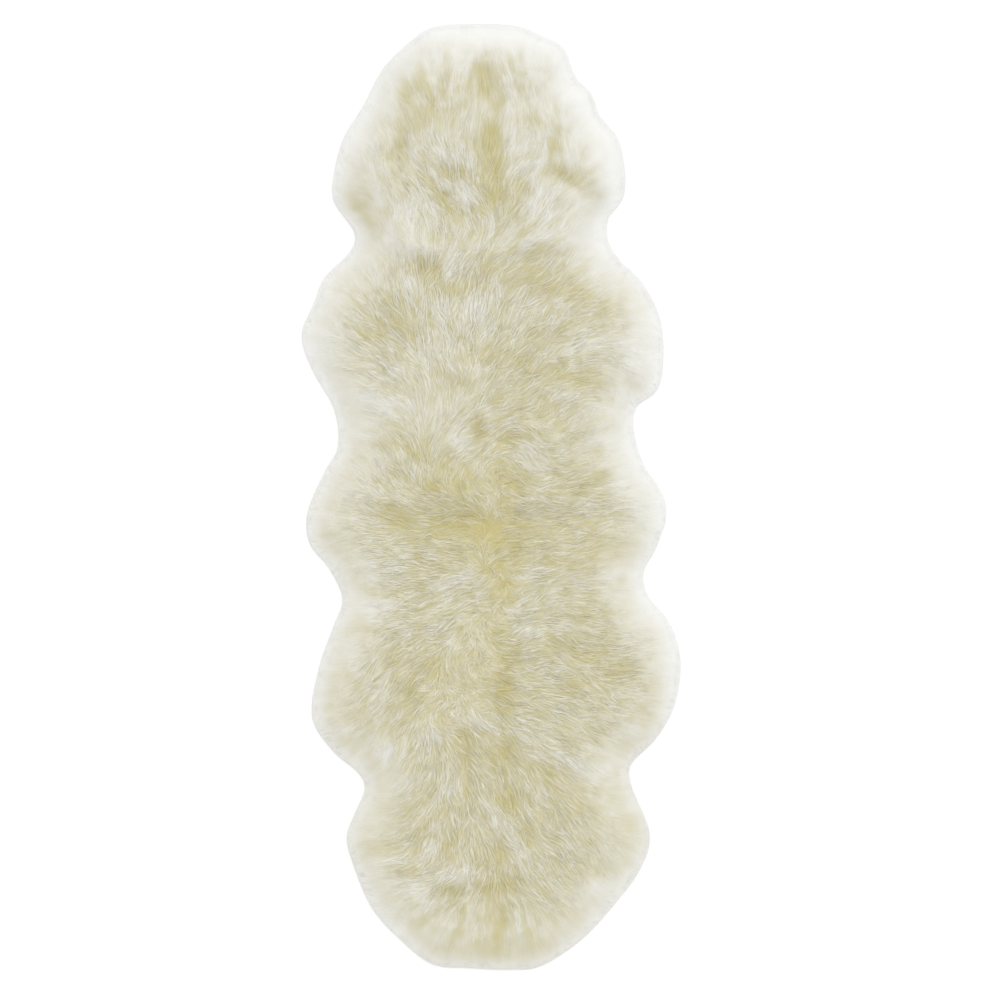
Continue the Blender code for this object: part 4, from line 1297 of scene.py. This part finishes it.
def strand_material(tones):
    """Wool coloured only by the strand's own map: tint across it, and shade from root to tip."""
    material, nodes, links, shader = new_material("combed_wool", 0.92)
    spot = nodes.new("ShaderNodeUVMap")
    spot.uv_map = BAKE_MAP
    split = nodes.new("ShaderNodeSeparateXYZ")
    tone = add_group(nodes, tones)
    links.new(spot.outputs["UV"], split.inputs["Vector"])
    links.new(split.outputs["X"], tone.inputs["Along"])
    links.new(split.outputs["Y"], tone.inputs["Whiteness"])
    links.new(tone.outputs["Color"], shader.inputs["Base Color"])
    return material


def fleece_material(tones):
    """Felted wool between the strands, painted a little darker and yellower than they are as shade, and
    finely grained.
    """
    material, nodes, links, shader = new_material("felted_wool", 0.95)
    white = nodes.new("ShaderNodeAttribute")
    white.attribute_name = WHITENESS
    place = nodes.new("ShaderNodeTexCoord")
    tone = add_group(nodes, tones)
    # Painted shade: the felt takes the ramp's shade a fifth of the way from root to tip.
    tone.inputs["Along"].default_value = 0.2
    links.new(white.outputs["Fac"], tone.inputs["Whiteness"])
    links.new(tone.outputs["Color"], shader.inputs["Base Color"])
    grain = noise(nodes, links, place.outputs["Object"], 420, 3)
    bumped(nodes, links, shader, grain, 0.4, 0.5 * MM)
    return material


def suede_material(hide):
    """Tanned suede: soft mottles, fine nap and faint veins."""
    material, nodes, links, shader = new_material("tanned_suede", 0.88)
    shader.inputs["Sheen Weight"].default_value = 0.3
    shader.inputs["Sheen Roughness"].default_value = 0.5
    place = nodes.new("ShaderNodeTexCoord").outputs["Object"]
    mottles = ramp(nodes, ((0.32, hide.suede_dark), (0.68, hide.suede)))
    links.new(noise(nodes, links, place, 7, 4), mottles.inputs["Fac"])
    veins = nodes.new("ShaderNodeTexVoronoi")
    veins.feature = "DISTANCE_TO_EDGE"
    veins.inputs["Scale"].default_value = 14
    lines = ramp(nodes, ((0.0, grey(0.86)), (0.06, grey(1.0))))
    links.new(place, veins.inputs["Vector"])
    links.new(veins.outputs["Distance"], lines.inputs["Fac"])
    colour = multiplied(nodes, links, mottles.outputs["Color"], lines.outputs["Color"], 0.6)
    links.new(colour, shader.inputs["Base Color"])
    nap = noise(nodes, links, place, 700, 3)
    bumped(nodes, links, shader, nap, 0.5, 0.4 * MM)
    return material


def thread_material(hide):
    """Twisted thread."""
    material, nodes, links, shader = new_material("seam_thread", 0.7)
    place = nodes.new("ShaderNodeTexCoord")
    twist = nodes.new("ShaderNodeTexWave")
    twist.bands_direction = "DIAGONAL"
    twist.inputs["Scale"].default_value = 700
    darker = [c * 0.7 for c in hide.thread_colour]
    colours = ramp(nodes, ((0.2, darker), (0.8, hide.thread_colour)))
    links.new(place.outputs["Object"], twist.inputs["Vector"])
    links.new(twist.outputs["Fac"], colours.inputs["Fac"])
    links.new(colours.outputs["Color"], shader.inputs["Base Color"])
    bumped(nodes, links, shader, twist.outputs["Fac"], 0.6, 0.2 * MM)
    return material


def floor_material(stage):
    """A plain pale floor."""
    material, _, _, shader = new_material("studio_floor", 0.9)
    shader.inputs["Base Color"].default_value = (*stage.floor, 1)
    shader.inputs["Specular IOR Level"].default_value = 0
    return material


# ---------------------------------------------------------------------------------------------
# Pieces

WELD = 0.05 * MM
FLEECE_CUTS = 2
# How far up a normal points: on the wool's top, on a face that is hidden from above, and, turned
# over, on the hide's lower side.
TOP_RISE = 0.1
HIDDEN_RISE = 0.05
FACES_DOWN = 0.9
FLEECE_FLOOR = HIDE_TOP + CLEARANCE
LEAST_FLEECE = 0.6 * MM
# Points this near the cross seam are put on it. The border's are on it within the second, and an
# edge is creased there within the third.
SEAM_SNAP = 1 * MM
AT_SEAM = 0.01 * MM
CREASE_SLACK = 0.1 * MM
# The border is the rim's where it is this near it, and elsewhere the seam's, which sinks so far a step.
RIM_BORDER = 6 * MM
SEAM_SINK = 4 * MM
# Beyond the rim the fleece goes on: steps out, and back in below, each with its height if it has one.
Step = namedtuple("Step", "out height")
SKIRT = (
    Step(5 * MM, None), Step(5 * MM, None), Step(5 * MM, None), Step(5 * MM, None), Step(0, 1.0 * MM),
    Step(-12 * MM, 1.0 * MM), Step(-12 * MM, 1.0 * MM), Step(-6 * MM, FLEECE_FLOOR),
)
WHITENESS = "whiteness"
MAP_MARGIN = 0.02
WALL_SPOT = np.array([(0.003, 0.003), (0.009, 0.003), (0.009, 0.009), (0.003, 0.009)])


def only(piece):
    """Makes this the one selected and active object."""
    bpy.ops.object.select_all(action="DESELECT")
    piece.select_set(True)
    bpy.context.view_layer.objects.active = piece


def place_piece(name, mesh, material):
    """Puts a mesh in the scene as a piece of the rug."""
    piece = bpy.data.objects.new(name, mesh)
    bpy.context.scene.collection.objects.link(piece)
    mesh.materials.clear()
    mesh.materials.append(material)
    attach(piece, BODY)
    return piece


def pick_faces(piece, wanted):
    """Selects the faces for which wanted is true, in edit mode."""
    bpy.ops.mesh.select_mode(type="FACE")
    bpy.ops.mesh.select_all(action="DESELECT")
    shape = bmesh.from_edit_mesh(piece.data)
    for face in shape.faces:
        face.select = wanted(face)
    shape.select_flush_mode()
    bmesh.update_edit_mesh(piece.data)


def is_wool_top(face):
    """True on the wool's upper side, inside the rim's wall."""
    return face.normal.z > TOP_RISE and min(v.co.z for v in face.verts) > RIM_LIP - RIM_SLACK


def read_array(items, key, width, kind=np.float32):
    """A property of all the items as an array."""
    values = np.empty(len(items) * width, dtype=kind)
    items.foreach_get(key, values)
    return values.reshape(-1, width) if width > 1 else values


def comb_surface(mesh, fleece):
    """Gives the copied surface the fleece's ridges, hollows and whiteness."""
    points = read_array(mesh.vertices, "co", 3)
    points[:, 1] = np.where(abs(points[:, 1] - seam_line()) < SEAM_SNAP, seam_line(), points[:, 1])
    x, y = points[:, 0], points[:, 1]
    points[:, 2] = np.maximum(fleece.read("bed", x, y), FLEECE_FLOOR + LEAST_FLEECE)
    mesh.vertices.foreach_set("co", points.ravel())
    mesh.update()


def move_rim(mesh, fleece, step):
    """Moves the selected border one step; along the seam it only sinks to the fleece's floor."""
    shape = bmesh.from_edit_mesh(mesh)
    border = [v for v in shape.verts if v.select]
    x, y, z = np.array([v.co for v in border]).T
    rim = fleece.read("from_rim", x, y) < RIM_BORDER
    away = fleece.lie.heading(x, y, 1.0) * np.where(rim, step.out, 0)
    x, y = x + away[0], np.where(abs(y - seam_line()) < AT_SEAM, y, y + away[1])
    if step.height is None:
        lower = np.maximum(fleece.read("bed", x, y), LOWEST_WOOL)
        sunk = np.maximum(z - SEAM_SINK, FLEECE_FLOOR)
    else:
        lower, sunk = step.height, FLEECE_FLOOR
    z = np.where(rim, lower, sunk)
    for vert, place in zip(border, zip(x, y, z)):
        vert.co = place
    bmesh.update_edit_mesh(mesh)


def paint_surface(mesh, fleece):
    """Stores the whiteness at each point, and a map from above with the hidden faces in its corner."""
    points = read_array(mesh.vertices, "co", 3)
    x, y = points[:, 0], points[:, 1]
    # Painted shade: the felt is painted darker and yellower than the strands where the wool is lively.
    white = fleece.read("tint", x, y) - fleece.depth_shade * (1 - fleece.read("calm", x, y))
    white = white.astype(np.float32)
    mesh.attributes.new(WHITENESS, "FLOAT", "POINT").data.foreach_set("value", np.clip(white, 0, 1))
    low, high = points.min(0)[:2], points.max(0)[:2]
    corner = read_array(mesh.loops, "vertex_index", 1, np.int32)
    spots = MAP_MARGIN + (1 - 2 * MAP_MARGIN) * (points[corner, :2] - low) / (high - low)
    sizes = read_array(mesh.polygons, "loop_total", 1, np.int32)
    hidden = np.repeat(read_array(mesh.polygons, "normal", 3)[:, 2] < HIDDEN_RISE, sizes)
    order = np.arange(len(corner)) - np.repeat(np.cumsum(sizes) - sizes, sizes)
    spots = np.where(hidden[:, None], WALL_SPOT[order % 4], spots)
    mesh.uv_layers.new(name=BAKE_MAP).data.foreach_set("uv", spots.astype(np.float32).ravel())


def lay_fleece(pelt, fleece, material):
    """The felted wool that the strands lie on: a closed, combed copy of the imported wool's top."""
    node = f"wool_{pelt}"
    bed = place_piece(f"wool_fleece_{pelt}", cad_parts[node].data.copy(), material)
    only(bed)
    bpy.ops.object.mode_set(mode="EDIT")
    bpy.ops.mesh.select_all(action="SELECT")
    bpy.ops.mesh.remove_doubles(threshold=WELD)
    pick_faces(bed, lambda face: not is_wool_top(face))
    bpy.ops.mesh.delete(type="FACE")
    bpy.ops.mesh.select_all(action="SELECT")
    bpy.ops.mesh.subdivide(number_cuts=FLEECE_CUTS)
    bpy.ops.object.mode_set(mode="OBJECT")
    comb_surface(bed.data, fleece)
    bpy.ops.object.mode_set(mode="EDIT")
    bpy.ops.mesh.select_all(action="SELECT")
    bpy.ops.mesh.region_to_loop()
    for step in SKIRT:
        bpy.ops.mesh.extrude_edges_move()
        move_rim(bed.data, fleece, step)
    bpy.ops.transform.resize(value=(1, 1, 0), center_override=(0, 0, FLEECE_FLOOR))
    bpy.ops.mesh.fill()
    bpy.ops.mesh.select_all(action="SELECT")
    bpy.ops.mesh.normals_make_consistent(inside=False)
    bpy.ops.object.mode_set(mode="OBJECT")
    paint_surface(bed.data, fleece)
    bed.data.shade_smooth()
    crease_seam(bed.data)
    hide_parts(node)
    return bed


def crease_seam(mesh):
    """Keeps the fleece's shading level up to the cross seam, where its wall drops away."""
    at_seam = abs(read_array(mesh.vertices, "co", 3)[:, 1] - seam_line()) < CREASE_SLACK
    ends = read_array(mesh.edges, "vertices", 2, np.int32)
    mesh.attributes.new("sharp_edge", "BOOLEAN", "EDGE").data.foreach_set("value", at_seam[ends].all(1))
    mesh.update()


def seam_line():
    """Where the cross seam lies along the rug."""
    return (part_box("wool_head_end")[0].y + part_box("wool_foot_end")[1].y) / 2


def cut_hide(pelt, hide, material):
    """The suede under a pelt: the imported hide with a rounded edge, lifted to leave room for thread."""
    node = f"hide_{pelt}"
    piece = place_piece(f"suede_{pelt}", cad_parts[node].data.copy(), material)
    only(piece)
    bpy.ops.object.mode_set(mode="EDIT")
    bpy.ops.mesh.select_all(action="SELECT")
    bpy.ops.mesh.remove_doubles(threshold=WELD)
    bpy.ops.mesh.dissolve_limited(angle_limit=math.radians(1))
    pick_faces(piece, lambda face: face.normal.z < -FACES_DOWN)
    bpy.ops.transform.translate(value=(0, 0, hide.raised))
    bpy.ops.mesh.region_to_loop()
    bpy.ops.mesh.bevel(offset=hide.edge, segments=2, affect="EDGES")
    bpy.ops.mesh.select_mode(type="FACE")
    bpy.ops.mesh.select_all(action="SELECT")
    bpy.ops.mesh.quads_convert_to_tris()
    bpy.ops.object.mode_set(mode="OBJECT")
    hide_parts(node)
    return piece


def hide_size(piece):
    """The cut's width, length and area."""
    points = read_array(piece.data.vertices, "co", 3).astype(float)
    width, length, _ = points.max(0) - points.min(0)
    area = sum(face.area for face in piece.data.polygons if face.normal.z < -FACES_DOWN)
    return (float(width), float(length)), area


# A stitch: how much of its length lies straight and each end turns in, how much of the thread's
# radius it is sunk and its ends rise, the ends' size, and its slant. Its ends are the faces whose
# normals point along the rug by more than STITCH_END.
Stitch = namedtuple("Stitch", "straight end sunk rise end_size slant")
STITCH = Stitch(0.8, 0.1, 0.35, 0.9, 0.7, math.radians(-22))
STITCH_SIDES = 6
STITCH_END = 0.7
SEAM_MARGIN = 4 * MM
SEAM_BESIDE = 2 * MM


def seam_reach(hides):
    """The ends of the seam: the narrower of the two hides' edges beside it."""
    seam, spans = seam_line(), []
    for piece in hides:
        across = [v.co.x for v in piece.data.vertices if abs(v.co.y - seam) < SEAM_BESIDE]
        spans.append((min(across), max(across)))
    return max(s[0] for s in spans), min(s[1] for s in spans)


def sew_seam(hides, hide, material):
    """Slanting stitches over the seam, on the flesh side."""
    start, end = seam_reach(hides)
    count = int((end - start - 2 * SEAM_MARGIN) / hide.stitch_pitch) + 1
    radius = hide.thread / 2
    bpy.ops.object.select_all(action="DESELECT")
    bpy.ops.mesh.primitive_cylinder_add(
        vertices=STITCH_SIDES, radius=radius, depth=hide.stitch_length * STITCH.straight,
        location=(start + SEAM_MARGIN, seam_line(), hide.raised - radius * STITCH.sunk),
        rotation=(math.radians(90), 0, STITCH.slant), end_fill_type="NGON",
    )
    stitch = bpy.context.object
    bpy.ops.object.transform_apply(location=True, rotation=True, scale=True)
    bpy.ops.object.mode_set(mode="EDIT")
    for along in (1, -1):
        pick_faces(stitch, lambda face: face.normal.y * along > STITCH_END)
        move = (0, along * hide.stitch_length * STITCH.end, radius * STITCH.rise)
        bpy.ops.mesh.extrude_region_move(TRANSFORM_OT_translate={"value": move})
        bpy.ops.transform.resize(value=(STITCH.end_size,) * 3)
    bpy.ops.object.mode_set(mode="OBJECT")
    stitch.data.shade_smooth()
    copies = stitch.modifiers.new("Stitches", "ARRAY")
    copies.count = count
    copies.use_relative_offset = False
    copies.use_constant_offset = True
    copies.constant_offset_displace = (hide.stitch_pitch, 0, 0)
    bpy.ops.object.modifier_apply(modifier=copies.name)
    stitch.name = "cross_seam_thread"
    stitch.data.materials.append(material)
    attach(stitch, BODY)
    return stitch


# ---------------------------------------------------------------------------------------------
# Operators

FLOOR_SPAN = 60
CAMERA_SIGHT = 100


class LayFleece(bpy.types.Operator):
    """Lay the felted wool of both pelts"""

    bl_idname = "sheepskin.lay_fleece"
    bl_label = "Lay Fleece"

    def execute(self, context):
        material = fleece_material(tones_of(context))
        for pelt in PELTS:
            lay_fleece(pelt, combed(), material)
        return {"FINISHED"}


class CombWool(bpy.types.Operator):
    """Plant the strands and comb them into tufts"""

    bl_idname = "sheepskin.comb_wool"
    bl_label = "Comb Wool"

    def execute(self, context):
        scene, fleece = context.scene, combed()
        rng = np.random.default_rng(scene.rug_fleece.seed + 9)
        wool = scene.rug_fleece
        tufts = Tufts(wool.tuft_pitch, wool.turn, wool.seed)
        material = strand_material(tones_of(context))
        coat = self.coat(scene.rug_coat, fleece, tufts, rng)
        roots = jittered_roots(fleece.lie, scene.rug_locks.pitch, LOCK_ROOTS, INNERMOST_ROOTS, rng)
        locks = strands_over(fleece, tufts, scene.rug_locks, LOCK_PROFILE, *roots, rng)
        shade_buried((coat, locks))
        self.plant("coat", coat, COAT_PIECES, material)
        self.plant("locks", locks, 1, material)
        return {"FINISHED"}

    def coat(self, settings, fleece, tufts, rng):
        """The strands all over, closer at the rim, with more in partings and a fringe below."""
        lie = fleece.lie
        inner = jittered_roots(lie, settings.pitch, RIM_ROOTS, INNERMOST_ROOTS, rng)
        outer = jittered_roots(lie, settings.rim_pitch, OUTERMOST_ROOTS, RIM_ROOTS, rng)
        low = jittered_roots(lie, UNDER_PITCH, *UNDER_ROOTS, rng)
        roots = np.concatenate([inner, outer], 1)
        stray = jittered_roots(lie, PARTED_PITCH, RIM_ROOTS, INNERMOST_ROOTS, rng)
        parted = lie.chart.read(lie.accord, *stray) < PARTED_ACCORD
        roots = np.concatenate([roots, np.array(stray)[:, parted]], 1)
        over = strands_over(fleece, tufts, settings, COAT_PROFILE, *roots, rng)
        return over.with_others(strands_under(fleece, settings, COAT_PROFILE, *low, rng))

    def plant(self, kind, strands, pieces, material):
        """Makes the strands' pieces: so many for each pelt, each a stretch of its length."""
        roots = strands.spines[:, 0, 1]
        wool = bpy.context.scene.rug_fleece
        for pelt, mine in zip(PELTS, (roots >= seam_line(), roots < seam_line())):
            order = np.flatnonzero(mine)
            order = order[np.argsort(-roots[order], kind="stable")]
            for number, share in enumerate(np.array_split(order, pieces), 1):
                name = f"wool_{kind}_{pelt}_{number}"
                place_piece(name, strand_mesh(name, strands.pick(share), wool), material)


class CutHides(bpy.types.Operator):
    """Cut the suede of both pelts and sew the cross seam"""

    bl_idname = "sheepskin.cut_hides"
    bl_label = "Cut and Sew Hides"

    def execute(self, context):
        hide = context.scene.rug_hide
        suede = suede_material(hide)
        hides = [cut_hide(pelt, hide, suede) for pelt in PELTS]
        thread = sew_seam(hides, hide, thread_material(hide))
        for pelt, piece in zip(PELTS, hides):
            flat, area = hide_size(piece)
            wool = [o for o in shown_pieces() if o.name.startswith("wool_") and pelt in o.name]
        return {"FINISHED"}


class SetStage(bpy.types.Operator):
    """Set the floor, the light and the camera"""

    bl_idname = "sheepskin.set_stage"
    bl_label = "Set Stage"

    def execute(self, context):
        scene, stage = context.scene, context.scene.rug_stage
        bpy.ops.object.select_all(action="DESELECT")
        bpy.ops.mesh.primitive_plane_add(size=FLOOR_SPAN, location=(0, 0, 0))
        floor = context.object
        floor.name = "studio_floor"
        floor.data.materials.append(floor_material(stage))
        floor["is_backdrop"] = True
        world = bpy.data.worlds.new("studio_light")
        world.use_nodes = True
        sky = world.node_tree.nodes["Background"]
        sky.inputs["Color"].default_value = (1.0, 1.0, 1.0, 1)
        sky.inputs["Strength"].default_value = stage.sky
        scene.world = world
        bpy.ops.object.light_add(type="SUN", location=(2, 2, 3))
        lamp = context.object
        lamp.name = "studio_lamp"
        lamp.data.energy = stage.lamp
        lamp.data.angle = stage.lamp_spread
        heading, height = stage.lamp_heading, stage.lamp_height
        towards = Vector((
            math.cos(heading) * math.cos(height), math.sin(heading) * math.cos(height), math.sin(height)
        ))
        lamp.rotation_euler = towards.to_track_quat("Z", "Y").to_euler()
        self.place_camera(scene, stage)
        scene.view_settings.view_transform = "Standard"
        scene.view_settings.look = "None"
        return {"FINISHED"}

    def place_camera(self, scene, stage):
        """A long lens straight above the middle of the photograph."""
        middle = on_rug(*PHOTO_MIDDLE)
        bpy.ops.object.camera_add(location=(*middle, stage.camera_height), rotation=(0, 0, 0))
        camera = bpy.context.object
        camera.name = "studio_camera"
        camera.data.lens = camera.data.sensor_width * stage.camera_height / (PHOTO_WIDTH * PIXEL)
        camera.data.clip_end = CAMERA_SIGHT
        scene.camera = camera


def tones_of(context):
    """The shared wool colours, made once."""
    return bpy.data.node_groups.get("wool_tones") or wool_tones(context.scene.rug_fleece)


class RugPanel(bpy.types.Panel):
    """Lists the steps that dress the rug"""

    bl_idname = "VIEW3D_PT_sheepskin"
    bl_label = "Sheepskin Rug"
    bl_space_type = "VIEW_3D"
    bl_region_type = "UI"
    bl_category = "Sheepskin"

    def draw(self, context):
        for step in STEPS:
            self.layout.operator(step.bl_idname)
        for group in SETTINGS:
            box = self.layout.box()
            for key in SETTINGS[group].__annotations__:
                box.prop(getattr(context.scene, group), key)


STEPS = (LayFleece, CombWool, CutHides, SetStage)
SETTINGS = {
    "rug_fleece": FleeceSettings,
    "rug_coat": CoatSettings,
    "rug_locks": LockSettings,
    "rug_hide": HideSettings,
    "rug_stage": StageSettings,
}


def register():
    """Makes the steps and their settings known to Blender."""
    for group, settings in SETTINGS.items():
        bpy.utils.register_class(settings)
        setattr(bpy.types.Scene, group, PointerProperty(type=settings))
    for step in (*STEPS, RugPanel):
        bpy.utils.register_class(step)


def unregister():
    """Takes the steps and their settings away again."""
    for step in (RugPanel, *reversed(STEPS)):
        bpy.utils.unregister_class(step)
    for group, settings in SETTINGS.items():
        delattr(bpy.types.Scene, group)
        bpy.utils.unregister_class(settings)


def main():
    """Dresses the rug."""
    register()
    bpy.ops.sheepskin.lay_fleece()
    bpy.ops.sheepskin.comb_wool()
    bpy.ops.sheepskin.cut_hides()
    bpy.ops.sheepskin.set_stage()


if __name__ == "__main__":
    main()
